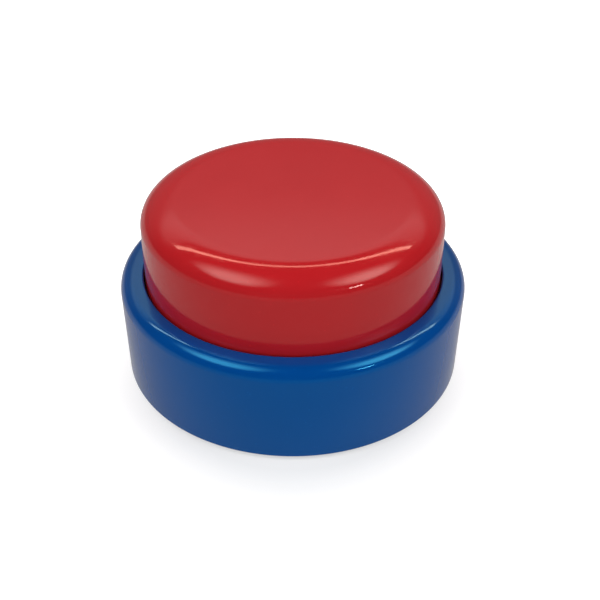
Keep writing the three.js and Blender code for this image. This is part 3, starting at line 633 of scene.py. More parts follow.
def ring_shell():
    """The base ring: drafted wall, rounded top edge, flat rim, guiding collar and three screw bosses."""
    draft, foot, edge, lip, chamfer = 0.4, 0.35, 3.5, 0.5, 0.2
    bottom_radius = RING_RADIUS - draft
    inside = RING_RADIUS - WALL
    roof = RING_TOP - WALL
    collar_bottom = SKIRT_BOTTOM + 1.9
    collar_outer = OPENING_RADIUS + 1.8
    shell = revolve("ring_shell", [
        *rounded(bottom_radius - WALL, RING_BOTTOM, foot, LOW_INNER, 5),
        *rounded(bottom_radius, RING_BOTTOM, foot, LOW_OUTER, 6),
        *rounded(RING_RADIUS, RING_TOP, edge, TOP_OUTER, 20),
        (OPENING_RADIUS + lip + 0.8, RING_TOP),
        *rounded(OPENING_RADIUS, RING_TOP, lip, TOP_INNER, 8),
        (OPENING_RADIUS, collar_bottom + chamfer),
        (OPENING_RADIUS + chamfer, collar_bottom),
        (collar_outer - chamfer, collar_bottom),
        (collar_outer, collar_bottom + chamfer),
        *rounded(collar_outer, roof, 0.6, TOP_INNER[::-1], 4),
        *rounded(inside, roof, 1.2, TOP_OUTER[::-1], 6),
    ], SHELL_SIDES)
    low, high = CHASSIS_TOP + 0.1, CHASSIS_TOP + 4.4
    bosses = []
    pilots = []
    for angle in BOSS_ANGLES:
        at = polar(CHASSIS_SCREW_CIRCLE, angle)
        web = block((CHASSIS_SCREW_CIRCLE, -1.5, low), (inside + 0.6, 1.5, high), angle)
        bosses += [rod(BOSS, low, high, at), web]
        pilots.append(bored(PILOT, low, high - 0.6, MOUTH, at))
    cut(join(shell, *bosses), *pilots)
    place(shell, "base_blue", "upper_housing")


# ---------------------------------------------------------------- the button


def cap_shell():
    """The push button: flat top, broad soft shoulder, straight wall, tabs, notches and screw bosses."""
    inner_radius = CAP_RADIUS - WALL
    flat = CAP_RADIUS - SHOULDER_RADIAL
    shoulder = (flat, CAP_TOP - SHOULDER_HEIGHT)
    roof = CAP_TOP - WALL
    hem = 0.3
    shell = turned("cap_shell", [
        *arc(shoulder, (inner_radius - flat, SHOULDER_HEIGHT - WALL), 90, 0, 12),
        (inner_radius, RING_TOP - 3),
        *rounded(inner_radius, SKIRT_BOTTOM, hem, LOW_INNER, 3),
        *rounded(CAP_RADIUS, SKIRT_BOTTOM, hem, LOW_OUTER, 3),
        (CAP_RADIUS, RING_TOP - 1),
        *arc(shoulder, (SHOULDER_RADIAL, SHOULDER_HEIGHT), 0, 90, 36),
        (flat * 0.97, CAP_TOP),
    ], SHELL_SIDES)
    added = []
    removed = []
    for angle in TAB_ANGLES:
        added.append(sector(CAP_RADIUS - 0.8, TAB_REACH, SKIRT_BOTTOM, SKIRT_BOTTOM + 1.8, angle, 24))
    boss_bottom = box_mm("button_carrier")[1].z + 0.1
    for angle in BOSS_ANGLES:
        at = polar(CARRIER_SCREW_CIRCLE, angle)
        notch = (CAP_RADIUS - 4, -3.6, SKIRT_BOTTOM - 1), (CAP_RADIUS + 1, 3.6, SKIRT_BOTTOM + 4.4)
        added.append(rod(BOSS, boss_bottom, roof + 0.4, at))
        removed.append(bored(PILOT, boss_bottom, roof - 1.5, MOUTH, at))
        removed.append(block(*notch, angle))
    cut(join(shell, *added), *removed)
    place(shell, "cap_red", "button_cap", body="button")


def carrier():
    """The white frame inside the cap: rim, ribs, windows, three guide sleeves and the plunger."""
    low, high = box_mm("button_carrier")
    deck, rim, above = CARRIER_BOTTOM, high.x, high.z + 1
    plate = turned("carrier_frame", [
        (rim - 1, deck), (rim, deck), (rim, high.z - 0.3), (rim - 0.3, high.z),
    ], SHELL_SIDES // 2)
    added = [
        pipe(rim - 1.6, rim, deck - 3, deck + 0.5, sides=SHELL_SIDES // 2),
        rod(3.6, low.z, high.z),
    ]
    removed = [rod(1.7, low.z - 1, low.z + 5.5)]
    for angle in TAB_ANGLES:
        sleeve = polar(SPRING_CIRCLE, angle)
        added.append(rod(4.4, SLEEVE_BOTTOM, high.z, sleeve))
        added.append(block((2, -0.7, deck - 5), (rim - 1, 0.7, deck + 0.5), angle))
        removed.append(bored(2.9, SLEEVE_BOTTOM, above, 0.4, sleeve))
    for angle in BOSS_ANGLES:
        added.append(block((3, -0.5, deck - 2.5), (19, 0.5, deck + 0.5), angle))
        removed.append(rod(CLEAR_HOLE, deck - 1, above, polar(CARRIER_SCREW_CIRCLE, angle)))
    for window in range(6):
        removed.append(bored(5, deck, above, 0.4, polar(25, 60 * window)))
    cut(join(plate, *added), *removed)
    place(plate, "white_plastic", "button_carrier", body="button")


def plunger_pad():
    """The rubber tip of the plunger, with a plug that holds it in the plunger's bore."""
    low, high = box_mm("plunger_pad")
    pad = turned("plunger_tip", [
        (2.2, low.z), *arc((2.4, low.z + 0.6), (0.6, 0.6), -80, 0, 6), (3, low.z + 1.2),
        (2.8, low.z + 1.4), (1.5, low.z + 1.4), (1.5, high.z - 0.3), (1.2, high.z),
    ])
    place(pad, "rubber", "plunger_pad", body="button")


# ---------------------------------------------------------------- chassis and springs


def chassis():
    """The white deck: spring posts and seats above, screw columns below, stiffened by three ribs."""
    low, high = box_mm("chassis_plate")
    bottom, top, radius, edge = CHASSIS_BOTTOM, CHASSIS_TOP, high.x, 0.3
    deck = turned("chassis_deck", [
        (radius - edge, bottom), (radius, bottom + edge), (radius, top - edge), (radius - edge, top),
    ], SHELL_SIDES)
    root = top - 0.5
    added = [rod(7.4, root, top + 1.6)]
    removed = [bored(6, bottom, top + 3, 0.4)]
    for angle in TAB_ANGLES:
        spot = polar(SPRING_CIRCLE, angle)
        added.append(turned("tool", [(2.4, root), (2.4, high.z - 0.6), (1.8, high.z)], at=spot))
        added.append(pipe(4.5, 5.4, root, top + 0.8, spot))
    for angle in BOSS_ANGLES:
        added.append(block((6.6, -0.6, root), (34, 0.6, top + 1), angle))
        removed.append(rod(CLEAR_HOLE, bottom - 1, top + 1, polar(CHASSIS_SCREW_CIRCLE, angle)))
    for node in CASE_SCREWS:
        added.append(rod(2.8, low.z, bottom + 0.5, spot_of(node)))
        removed.append(bored(PILOT, low.z, bottom - 1, MOUTH, spot_of(node)))
    cut(join(deck, *added), *removed)
    place(deck, "white_plastic", "chassis_plate")


def coil(start_radius, end_radius, low, high, turns, wire, steps=28):
    """The middle line of a coil about the vertical axis whose end turns lie closed."""
    closed, pitch = 0.8, wire * 2.4
    rise = high - low - 2 * closed * pitch
    points = []
    count = int(turns * steps)
    for i in range(count + 1):
        share = i / count
        turn = share * turns
        open_part = min(max((turn - closed) / (turns - 2 * closed), 0), 1)
        ends = min(turn, closed) + max(turn - turns + closed, 0)
        radius = start_radius + (end_radius - start_radius) * share
        points.append((*polar(radius, 360 * turn), low + rise * open_part + pitch * ends))
    return points


def button_springs():
    """Three compression springs, each with a mesh of its own."""
    wire, radius, turns, stroke = 0.35, 3.7, 5, 4.0
    for name, angle in zip(("rear", "front_left", "front_right"), TAB_ANGLES):
        node = "button_spring_" + name
        low, high = box_mm(node)
        x, y = polar(SPRING_CIRCLE, angle)
        wound = coil(radius, radius, low.z + wire, high.z - wire, turns, wire)
        spring = sweep(node + "_coil", [(px + x, py + y, pz) for px, py, pz in wound], wire, 10)
        place(spring, "spring_steel", node)
        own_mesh(spring)


# ---------------------------------------------------------------- the underside


def battery_bay():
    """What the battery bay and its door add to the cover and take out of it."""
    added = [
        block(
            (-WELL_X - BAY_WALL, WELL_FRONT - BAY_WALL, COVER_FACE + 0.5),
            (WELL_X + BAY_WALL, WELL_REAR + BAY_WALL, COVER_HIGH.z), edge=0.6,
        ),
        rod(4.6, COVER_ROOT, 9.5, DOOR_SCREW),
    ]
    removed = [
        block((-WELL_X, WELL_FRONT, UNDER), (WELL_X, WELL_REAR, WELL_TOP), edge=0.4),
        block(
            (-DOOR_HALF - DOOR_GAP, DOOR_LOW.y - DOOR_GAP, UNDER),
            (DOOR_HALF + DOOR_GAP, DOOR_HIGH.y + DOOR_GAP, 2.9), edge=0.4,
        ),
        block((27, DOOR_Y - 3, UNDER), (DOOR_SCREW[0], DOOR_Y + 3, 2.9)),
        rod(3.6, UNDER, COVER_TOP, DOOR_SCREW),
        bored(PILOT + 0.3, COVER_TOP, 8.9, MOUTH, DOOR_SCREW),
    ]
    for y in (CELL_FRONT_Y, CELL_REAR_Y):
        removed.append(block((-28, y - 1.7, 10.9), (-WELL_X + 1, y + 1.7, 11.9)))
    for y in HOOKS_Y:
        added.append(block((-30, y - 4.4, COVER_ROOT), (-27, y + 4.4, COVER_TOP + 1.2)))
        removed.append(block((-28.7, y - 3.4, 1.9), (-WELL_X + 0.1, y + 3.4, COVER_TOP + 0.3)))
    return added, removed


def switch_openings():
    """The holes for the record button, microphone and slide switch, and the mark of the moulding gate."""
    slide = spot_of("slide_switch_body")
    return [], [
        bored(3.7, COVER_FACE, COVER_TOP + 1, 0.35, spot_of("record_button")),
        bored(0.6, COVER_FACE, COVER_TOP + 1, 0.3, spot_of("microphone"), 24),
        block_at(slide, 3.4, 1.6, UNDER, COVER_TOP + 1, 0.3),
        block_at(slide, 5.2, 2.8, UNDER, COVER_FACE + 0.35, 0.3),
        rod(1.2, UNDER, COVER_FACE + 0.2),
    ]


def screw_places():
    """Pillars and holes for the case screws, the board's screws and the speaker's, and the feet's seats."""
    added = []
    removed = [bored(3.9, COVER_FACE, COVER_FACE + 0.5, 0.15, spot_of(node)) for node in FEET]
    for node in CASE_SCREWS:
        spot = spot_of(node)
        added.append(rod(3.6, COVER_ROOT, COVER_TOP + 1.8, spot))
        removed.append(bored(2.5, COVER_FACE, COVER_TOP + 0.2, 0.35, spot))
        removed.append(rod(CLEAR_HOLE, UNDER, COVER_TOP + 3, spot))
    for side in ("left", "right"):
        spot = spot_of("board_screw_" + side)
        added += [
            rod(2.4, COVER_ROOT, 8.9, spot),
            block_at(spot, 3.4, 0.4, COVER_ROOT, 7.4),
            block_at(spot, 0.4, 3.4, COVER_ROOT, 7.4),
        ]
        removed.append(rod(PILOT, COVER_TOP, 9.9, spot))
        spot = spot_of("speaker_screw_" + side)
        added.append(rod(2.2, COVER_ROOT, COVER_TOP + 1.4, spot))
        removed.append(rod(PILOT, COVER_FACE + 0.6, COVER_TOP + 3, spot))
    return added, removed


def speaker_grille():
    """The ring that the speaker sits in, the grille's holes and the groove round them."""
    removed = [pipe(10.6, 11.1, UNDER, COVER_FACE + 0.3, SPEAKER)]
    for circle, count in ((0, 1), (4, 6), (8, 12)):
        for step in range(count):
            x, y = polar(circle, 360 * step / count)
            at = (SPEAKER[0] + x, SPEAKER[1] + y)
            removed.append(bored(0.9, COVER_FACE, COVER_TOP + 1, 0.3, at, 24))
    return [pipe(14.3, 15.3, COVER_ROOT, COVER_TOP + 1.4, SPEAKER)], removed


def cover_shell():
    """The bottom cover: battery bay, screw pillars, grille and openings, with broken edges."""
    radius = COVER_HIGH.x
    shell = turned("cover_shell", [
        *rounded(radius, COVER_FACE, 0.5, LOW_OUTER, 4), (radius, COVER_TOP),
    ], SHELL_SIDES)
    added = []
    removed = []
    for more, less in (battery_bay(), speaker_grille(), switch_openings(), screw_places()):
        added += more
        removed += less
    cut(join(shell, *added), *removed)
    join(shell, block((-20, DOOR_Y - 0.4, 12.2), (20, DOOR_Y + 0.4, 14.6)))
    place(shell, "cover_blue", "bottom_cover")


def battery_door():
    """The door: plate with hooks, screw tongue, finger grooves and a fine line round its edge."""
    low, high, face, back = DOOR_LOW, DOOR_HIGH, DOOR_LOW.z, 2.8
    plate = block((-DOOR_HALF, low.y, face), (DOOR_HALF, high.y, back), edge=0.35, name="door_plate")
    added = [
        turned("tool", [*rounded(3.3, face, 0.3, LOW_OUTER, 4), (3.3, high.z)], at=DOOR_SCREW),
        block((26, DOOR_Y - 2.8, face), (DOOR_SCREW[0], DOOR_Y + 2.8, back), edge=0.25),
    ]
    added += [block((low.x, y - 3, 2), (-26, y + 3, back), edge=0.2) for y in HOOKS_Y]
    removed = [bored(2.3, face, face + 1.3, MOUTH, DOOR_SCREW), rod(CLEAR_HOLE, face - 1, 4.4, DOOR_SCREW)]
    for groove in range(4):
        removed.append(block_at((17 + 2 * groove, DOOR_Y), 0.5, 5, face - 1, face + 0.4, 0.18))
    inset, line = 1.8, 0.35
    half_x, half_y = DOOR_HALF - inset, (high.y - low.y) / 2 - inset
    for side in (-1, 1):
        along = (0, DOOR_Y + side * (half_y - line / 2))
        across = (side * (half_x - line / 2), DOOR_Y)
        removed.append(block_at(along, half_x, line / 2, face - 1, face + 0.2))
        removed.append(block_at(across, line / 2, half_y, face - 1, face + 0.2))
    cut(join(plate, *added), *removed)
    place(plate, "cover_blue", "battery_door", body="battery_door")


def feet():
    """Rubber feet with two moulded grooves in the face that stands on the table."""
    groove = 0.12
    for node in FEET:
        low, high = box_mm(node)
        radius = (high.x - low.x) / 2
        foot = turned(node + "_rubber", [
            (0.9, groove), (1.05, 0), (1.75, 0), (1.9, groove), (2.2, groove), (2.35, 0),
            *rounded(radius, 0, 0.5, LOW_OUTER, 6), (radius, high.z - 0.15), (radius - 0.15, high.z),
        ], at=spot_of(node))
        place(foot, "rubber", node)


# ---------------------------------------------------------------- screws

THREAD_PITCH = 0.75
THREAD_CREST = 1.0
THREAD_ROOT = 0.76
THREAD_TAPER = 1.4  # length of the pointed tip


def threaded(z, length):
    """The radius of a screw's thread at a height, as a function of the angle."""
    limit = THREAD_CREST * (z + length) / THREAD_TAPER

    def radius(angle):
        phase = (z / THREAD_PITCH - angle / (2 * math.pi)) % 1
        ridge = max(0, 1 - abs(phase - 0.5) * 3.2)
        return min(THREAD_ROOT + (THREAD_CREST - THREAD_ROOT) * ridge, limit)
    return radius


def screw(node, body="base", facing=-1, height=1.3):
    """A pan-head screw with a rolled thread, a pointed tip and a cross recess."""
    low, high = box_mm(node)
    head = (high.x - low.x) / 2
    length = high.z - low.z - height
    rows = [(0, -length)]
    z = -length + 0.12
    while z < -0.55:
        rows.append((threaded(z, length), z))
        z += THREAD_PITCH / 5
    rows += [(THREAD_ROOT, -0.4), (THREAD_ROOT + 0.05, -0.1), (THREAD_CREST, 0)]
    rows += [(head - 0.12, 0), (head, 0.12)]
    rows += arc((head * 0.55, height * 0.45), (head * 0.45, height * 0.55), 0, 90, 6)
    rows.append((0, height))
    arm, width, depth = head * 0.52, head * 0.13, height * 0.42
    made = cut(
        revolve(node + "_steel", rows, 20),
        block_at((0, 0), arm, width, depth, height + 1),
        block_at((0, 0), width, arm, depth, height + 1),
        revolve("tool", [
            (0, depth - 0.25), (width * 1.4, depth), (width * 2.2, height + 0.5), (0, height + 0.5),
        ], 16),
    )
    seat = high.z - height if facing > 0 else low.z + height
    moved(made, (*spot_of(node), seat), 0 if facing > 0 else 2, "X")
    place(made, "screw_steel", node, body=body)


def screws():
    for side in ("rear_right", "rear_left", "front"):
        screw("carrier_screw_" + side, "button")
        screw("chassis_screw_" + side)
    for node in CASE_SCREWS:
        screw(node)
    screw("battery_door_screw", "battery_door", height=1.1)
    for side in ("left", "right"):
        screw("board_screw_" + side, facing=1)
        screw("speaker_screw_" + side, facing=1, height=1.4)


# ---------------------------------------------------------------- batteries and contacts


def cell(node, facing):
    """An AAA cell: a printed jacket rolled over the ends of a plated can."""
    low, high = box_mm(node)
    centre = (low + high) / 2
    half, radius, nub = (high.x - low.x) / 2, CELL_RADIUS, 1.9
    jacket = turned(node + "_jacket", [
        (radius - 0.7, 0.12 - half), *arc((radius - 0.4, 0.4 - half), (0.4, 0.36), -90, 0, 6),
        *arc((radius - 0.45, half - 1.25), (0.45, 0.4), 0, 90, 6), (radius - 0.9, half - 0.9),
    ], 96)
    bottom = turned("ends", [
        (1.6, 0.1 - half), (1.8, -half), (radius - 1.1, -half), (radius - 0.8, 0.2 - half),
        (radius - 0.8, 0.3 - half),
    ])
    top = turned("ends", [
        (radius - 1, half - 1), (radius - 1, half - 0.86), (nub + 0.9, half - 0.8),
        (nub + 0.2, half - 0.72), (nub, half - 0.55), (nub, half - 0.2), (nub - 0.2, half),
    ])
    ends = merge(node + "_can", bottom, top)
    for piece in (jacket, ends):
        moved(piece, centre, facing)
    place(jacket, "cell_jacket", node, material=cell_jacket(node + "_print", centre.x, facing))
    place(ends, "contact_nickel")


def pit_depth_and_shade():
    cell("battery_front", 1)
    cell("battery_rear", -1)


def contact_coil(x, y, direction):
    """A conical contact spring that stands on a plate at x and points along direction."""
    wire = 0.3
    length = WELL_X - 0.45 - abs(box_mm("battery_front")[0].x) - 0.1 - wire
    wound = sweep("tool", coil(3.6, 1.9, 0, length, 3.4, wire, 24), wire, 8)
    return moved(wound, (x, y, CELL_Z), direction)


def dimple(x, y, direction):
    """A low pressed dome in a contact plate where a cell's raised end touches it."""
    dome = revolve("tool", [(0, -0.2), (2.2, -0.2), (2.0, 0.02), (1.2, 0.07), (0, 0.09)], 32)
    return moved(dome, (x, y, CELL_Z), direction)


def contact_strip(name, x, front, rear):
    """A contact plate whose middle is at x, reaching past the cells at front and rear."""
    reach = CONTACT_HALF
    half = (CONTACT_OUTER - CONTACT_INNER) / 2
    low, high = (x - half, front - reach, CELL_Z - reach), (x + half, rear + reach, CELL_Z + reach)
    return block(low, high, edge=0.12, name=name + "_strip")


def contacts():
    """The bridge at one end of the bay, and the positive and negative plates with their solder tails."""
    x = (CONTACT_OUTER + CONTACT_INNER) / 2
    bridge = contact_strip("bridge", x, CELL_FRONT_Y, CELL_REAR_Y)
    join(bridge, contact_coil(CONTACT_INNER, CELL_REAR_Y, -1), dimple(CONTACT_INNER, CELL_FRONT_Y, -1))
    place(bridge, "contact_nickel", "contact_bridge")
    for name, y, touch in (("positive", CELL_REAR_Y, dimple), ("negative", CELL_FRONT_Y, contact_coil)):
        strip = contact_strip(name, -x, y, y)
        tail = block((-28.9, y - 1.4, 11.2), (-CONTACT_OUTER + 0.2, y + 1.4, 11.6), edge=0.1)
        join(strip, tail, touch(-CONTACT_INNER, y, 1))
        place(strip, "contact_nickel", "contact_" + name)


# ---------------------------------------------------------------- circuit board

# Middle lines of the wires and of the copper tracks. A wire ends in the board.
WIRES = {
    "battery_wire_red": (
        (-28.2, -13.2, 12.3), (-28.6, -9.4, 12.6), (-28.2, -5.8, 12.3), (-27.3, -2.8, 11.4),
        (-26.6, -1.4, 11.35),
    ),
    "battery_wire_black": (
        (-28.2, -23.4, 12.3), (-29.4, -19.6, 12.6), (-31.6, -15, 12.5), (-32.2, -10.5, 12.4),
        (-31.2, -6, 12.2), (-29.8, -3, 11.4), (-29.2, -1.6, 11.35),
    ),
    "speaker_wire_red": (
        (1.8, 14.4, 8.5), (2, 12.4, 9.2), (2.4, 10.5, 11.1), (3.1, 8.4, 11.9), (3.8, 6.6, 11.35),
    ),
    "speaker_wire_black": (
        (-1.8, 14.4, 8.5), (-2, 12.4, 9.2), (-2.4, 10.5, 11.1), (-3.1, 8.4, 11.9), (-3.8, 6.6, 11.35),
    ),
}
TRACKS = (
    ((-26.6, -1.4), (-24.6, -3.2), (-17, -3.2)),
    ((-29.2, -1.6), (-29.2, 4.8), (-26.4, 6.2)),
    ((-17.6, -1.8), (-15.8, -1.2), (-15, 0.2)),
    ((-17.6, 6.2), (-15.6, 5.4), (-14.6, 4)),
    ((-9, 3.4), (-6.4, 6.6), (-3.8, 6.6)),
    ((-9, 1.4), (-6, 0.2), (-3.6, -2.2)),
    ((3.6, 2.2), (6.2, 2.2), (8.4, 4.4)),
    ((3.8, 6.6), (6.2, 7.6), (17.6, 7.6), (18, 5.2)),
    ((3.6, -2.2), (7, -2.8), (17.6, -2.8), (17.6, -0.4)),
    ((24.4, 4.4), (26.6, 4.4), (26.6, -2.9), (8, -3.6)),
    ((-12, -2.3), (-12, -3.6), (2, -3.6)),
    ((-27, 7.4), (-6.4, 7.6)),
)
BOARD_SCREWS = (spot_of("board_screw_left"), spot_of("board_screw_right"))
RESISTOR_REACH = 4.1  # from a resistor's middle to its holes in the board
CAPACITOR_REACH = 5.1  # from the capacitor's middle to its holes
CAPACITOR_SPREAD = 1.2  # half the distance between them
LEAD_BOTTOM = BOARD_HIGH.z - 0.8  # where a component's lead ends, inside the board


def resistor_holes(name):
    centre = middle("resistor_" + name)
    return [(centre.x + side * RESISTOR_REACH, centre.y) for side in (1, -1)]


def capacitor_holes():
    centre = middle("capacitor")
    return [(centre.x + CAPACITOR_REACH, centre.y + side * CAPACITOR_SPREAD) for side in (-1, 1)]


def ribbon(points, width, low, high):
    """Flat strips along a broken line, rounded where they meet."""
    made = []
    for (x0, y0), (x1, y1) in zip(points, points[1:]):
        turn = math.degrees(math.atan2(y1 - y0, x1 - x0))
        strip = block((0, -width / 2, low), (math.hypot(x1 - x0, y1 - y0), width / 2, high), turn)
        made.append(moved(strip, (x0, y0, 0)))
    made += [rod(width * 0.55, low, high - 0.01, point, 14) for point in points]
    return made


def solder(spots, z, direction):
    """Small solder cones on a face of the board."""
    cones = []
    for x, y in spots:
        cone = revolve("solder", [
            (0, -0.05), (0.95, -0.05), (0.95, 0.03), (0.62, 0.16), (0.34, 0.42), (0.16, 0.6), (0, 0.62),
        ], 20)
        cones.append(moved(cone, (x, y, z), 0 if direction > 0 else 2, "X"))
    return cones


def circuit_board():
    """The board with its copper tracks under the mask, plated screw holes and solder joints."""
    low, high = BOARD_LOW, BOARD_HIGH
    board = block(low, high, edge=0.12, name="board_laminate")
    cut(board, *[rod(1.4, low.z - 1, high.z + 1, spot) for spot in BOARD_SCREWS])
    place(board, "circuit_board", "circuit_board")

    tracks = [strip for line in TRACKS for strip in ribbon(line, 0.5, high.z - 0.02, high.z + 0.05)]
    copper = tracks.pop()
    copper.name = "board_tracks"
    place(join(copper, *tracks), "circuit_board", material=MATERIALS["track"])

    rings = [pipe(1.45, 2.3, high.z - 0.02, high.z + 0.06, spot, 32, 0.01) for spot in BOARD_SCREWS]
    wire_holes = [route[-1][:2] for route in WIRES.values()]
    main_legs = [(x, y) for y in (-2.2, 2.2) for x in (-3.4, 3.4)]
    both = resistor_holes("rear") + capacitor_holes()
    above = solder(wire_holes + resistor_holes("front") + both, high.z, 1)
    below = solder(main_legs + both, low.z, -1)
    place(merge("solder_joints", *rings, *above, *below), "contact_nickel", material=MATERIALS["solder"])


def tact_switch(name, base, mouth):
    """A tact switch: black base, steel cover with four rivets and a round window, and four legs."""
    spot = spot_of(name + "_body")
    out = 1 if mouth > base else -1
    seam = mouth - 0.7 * out
    half, window = 3, 1.95
    body = block_at(spot, half, half, *sorted((base, seam)), 0.2, name + "_base")
    cut(body, rod(window, mouth - 1.2, mouth + 1.2, spot))
    place(body, "black_plastic", name + "_body")
    cover = block_at(spot, half, half, *sorted((seam, mouth)), 0.18, name + "_cover")
    cut(cover, rod(window, mouth - 2, mouth + 2, spot))
    rivet = sorted((mouth - 0.3 * out, mouth + 0.12 * out))
    leg = sorted((base - 0.4 * out, seam - 0.6 * out))
    rivets = []
    legs = []
    for i, j in ((-1, -1), (-1, 1), (1, -1), (1, 1)):
        rivets.append(rod(0.45, *rivet, (spot[0] + i * 2.3, spot[1] + j * 2.3), 20))
        legs.append(block_at((spot[0] + i * 3.15, spot[1] + j * 2.25), 0.12, 0.35, *leg, 0.05))
    join(cover, *rivets)
    place(cover, "pressed_steel")
    place(merge(name + "_legs", *legs), "contact_nickel")


def stem(node):
    """The round plunger of a tact switch."""
    low, high = box_mm(node)
    radius, edge = 1.75, 0.2
    made = turned(node + "_plunger", [
        (radius - edge, low.z), (radius, low.z + edge), (radius, high.z - edge), (radius - edge, high.z),
    ], 40, spot_of(node))
    place(made, "black_plastic", node, body=node)


def tact_switches():
    gap, height = 0.05, 3.5
    tact_switch("main_switch", BOARD_HIGH.z + gap, BOARD_HIGH.z + height)
    tact_switch("record_switch", BOARD_LOW.z - gap, BOARD_LOW.z - height)
    stem("main_switch_stem")
    stem("record_switch_stem")


def record_button():
    """The small red button in the underside, dished for a fingertip."""
    low, high = box_mm("record_button")
    face, flange = low.z, COVER_TOP + 0.1
    made = revolve("record_key", [
        (0, face + 0.25), (1.2, face + 0.19), (2.2, face + 0.04), (2.5, face),
        *rounded(3.3, face, 0.3, LOW_OUTER, 5), (3.3, flange), (4.2, flange),
        (4.4, flange + 0.2), (4.4, high.z - 0.15), (4.25, high.z), (0, high.z),
    ], 96, spot_of("record_button"))
    place(made, "record_red", "record_button", body="record_button")


def slide_switch():
    """The slide switch: a folded steel can on the board, and the ribbed knob in the cover's slot."""
    low, high = box_mm("slide_switch_body")
    spot = spot_of("slide_switch_body")
    can = block(low, high, edge=0.3, name="slide_can")
    cut(can, block_at(spot, 2.2, 1.1, low.z - 1, low.z + 1.2, 0.1))
    place(can, "pressed_steel", "slide_switch_body")
    pins = [
        block_at((spot[0] + x, spot[1]), 0.2, 0.2, high.z - 0.5, high.z + 2.4, 0.06) for x in (-2, 0, 2)
    ]
    place(merge("slide_pins", *pins), "contact_nickel")

    low, high = box_mm("slide_switch_knob")
    face, flange = low.z, COVER_TOP + 0.1
    x, y = spot_of("slide_switch_knob")[0], spot[1]
    knob = block_at((x, y), 2, 1.3, face, flange + 1.1, 0.25, "slide_knob")
    join(
        knob,
        block_at((x, y), 4.4, 2, flange, flange + 0.5, 0.1),
        block_at((x, y), 0.8, 0.8, flange + 1, high.z, 0.1),
    )
    cut(knob, *[block_at((x + rib, y), 0.2, 2, face - 1, face + 0.4, 0.08) for rib in (-1, 0, 1)])
    place(knob, "black_plastic", "slide_switch_knob", body="slide_switch_knob")


# ---------------------------------------------------------------- parts on the board


def leads(name, lines):
    """Tinned component wires."""
    wires = [sweep("lead", line, 0.25, 8) for line in lines]
    place(merge(name, *wires), "contact_nickel", material=MATERIALS["solder"])


def sound_chip():
    """The sound chip's epoxy blob, which isn't quite round."""
    low, high = box_mm("sound_chip")
    size, base = 4.5, low.z + 0.05

    def uneven(radius):
        waves = ((0.018, 3, 0.7), (0.007, 7, 0.0))
        return lambda angle: radius * (0.975 + sum(by * math.sin(n * angle + at) for by, n, at in waves))

    dome = [(uneven(radius), z) for radius, z in arc((0, base), (size, high.z - base), 3, 84, 12)]
    rows = [(0, low.z), (uneven(size), low.z), *dome, (0, high.z)]
    place(revolve("chip_blob", rows, 96, spot_of("sound_chip")), "epoxy", "sound_chip", smooth=60)


def capacitor():
    """The lying capacitor: shrink sleeve, aluminium end with a cross score, and two bent leads."""
    centre = middle("capacitor")
    x, y, z = centre
    sleeve = revolve("capacitor_sleeve", [
        (0, -3.4), (1.7, -3.4), *rounded(2, -3.4, 0.25, LOW_OUTER, 4), (2, -1.9), (1.84, -1.7),
        (1.84, -1.5), (2, -1.3), *rounded(2, 3.45, 0.25, TOP_OUTER, 4), (1.45, 3.45), (0, 3.3),
    ], 48)
    place(moved(sleeve, centre, 1), "capacitor_sleeve", "capacitor")
    end = moved(turned("capacitor_end", [(1.45, 3.2), (1.5, 3.42), (1.4, 3.5)], 48), centre, 1)
    cut(
        end,
        block_at((x + 3.5, y), 0.1, 1.1, z - 0.07, z + 0.07),
        block_at((x + 3.5, y), 0.1, 0.07, z - 1.1, z + 1.1),
    )
    place(end, "contact_nickel")
    leads("capacitor_leads", [
        [(x + 3.3, hole[1], z), (x + 4.4, hole[1], z), (x + 5, hole[1], z - 0.5), (*hole, LEAD_BOTTOM)]
        for hole in capacitor_holes()
    ])


def resistor(name, colors):
    """A lying resistor: a waisted lacquered bead with painted bands, and two bent leads."""
    node = "resistor_" + name
    centre = middle(node)
    x, y, z = centre
    end = [(0.6, 2.65), (0.88, 2.4), (0.95, 2.0), (0.9, 1.65)]
    rows = [(radius, -along) for radius, along in end] + [(0.76, -1.3), (0.75, 1.3)] + end[::-1]
    bead = revolve(node + "_bead", [(0, -2.7), *rows, (0, 2.7)], 32)
    material = resistor_body(name + "_resistor_lacquer", x, colors)
    place(moved(bead, centre, 1), "resistor_body", node, material=material)
    leads(node + "_leads", [
        [(x + side * 2.6, y, z), (x + side * 3.5, y, z), (x + side * 4, y, z - 0.4), (*hole, LEAD_BOTTOM)]
        for side, hole in zip((1, -1), resistor_holes(name))
    ])


def resistors():
    resistor("front", ("red", "brown", "gold"))
    resistor("rear", ("black", "orange", "gold"))


def microphone():
    """The microphone: a rolled steel can with a felt disc over its mouth, which looks down."""
    low, high = box_mm("microphone")
    spot = spot_of("microphone")
    can = turned("microphone_can", [
        (2.3, low.z + 0.25), (2.35, low.z), *rounded(3, low.z, 0.2, LOW_OUTER, 4), (3, high.z - 0.1),
        (2.9, high.z),
    ], 64, spot)
    place(can, "pressed_steel", "microphone")
    felt = rod(2.3, low.z + 0.08, low.z + 0.3, spot, 48, "microphone_felt")
    place(cut(felt, rod(0.5, low.z - 1, low.z + 0.2, spot, 20)), "foam")


# ---------------------------------------------------------------- speaker


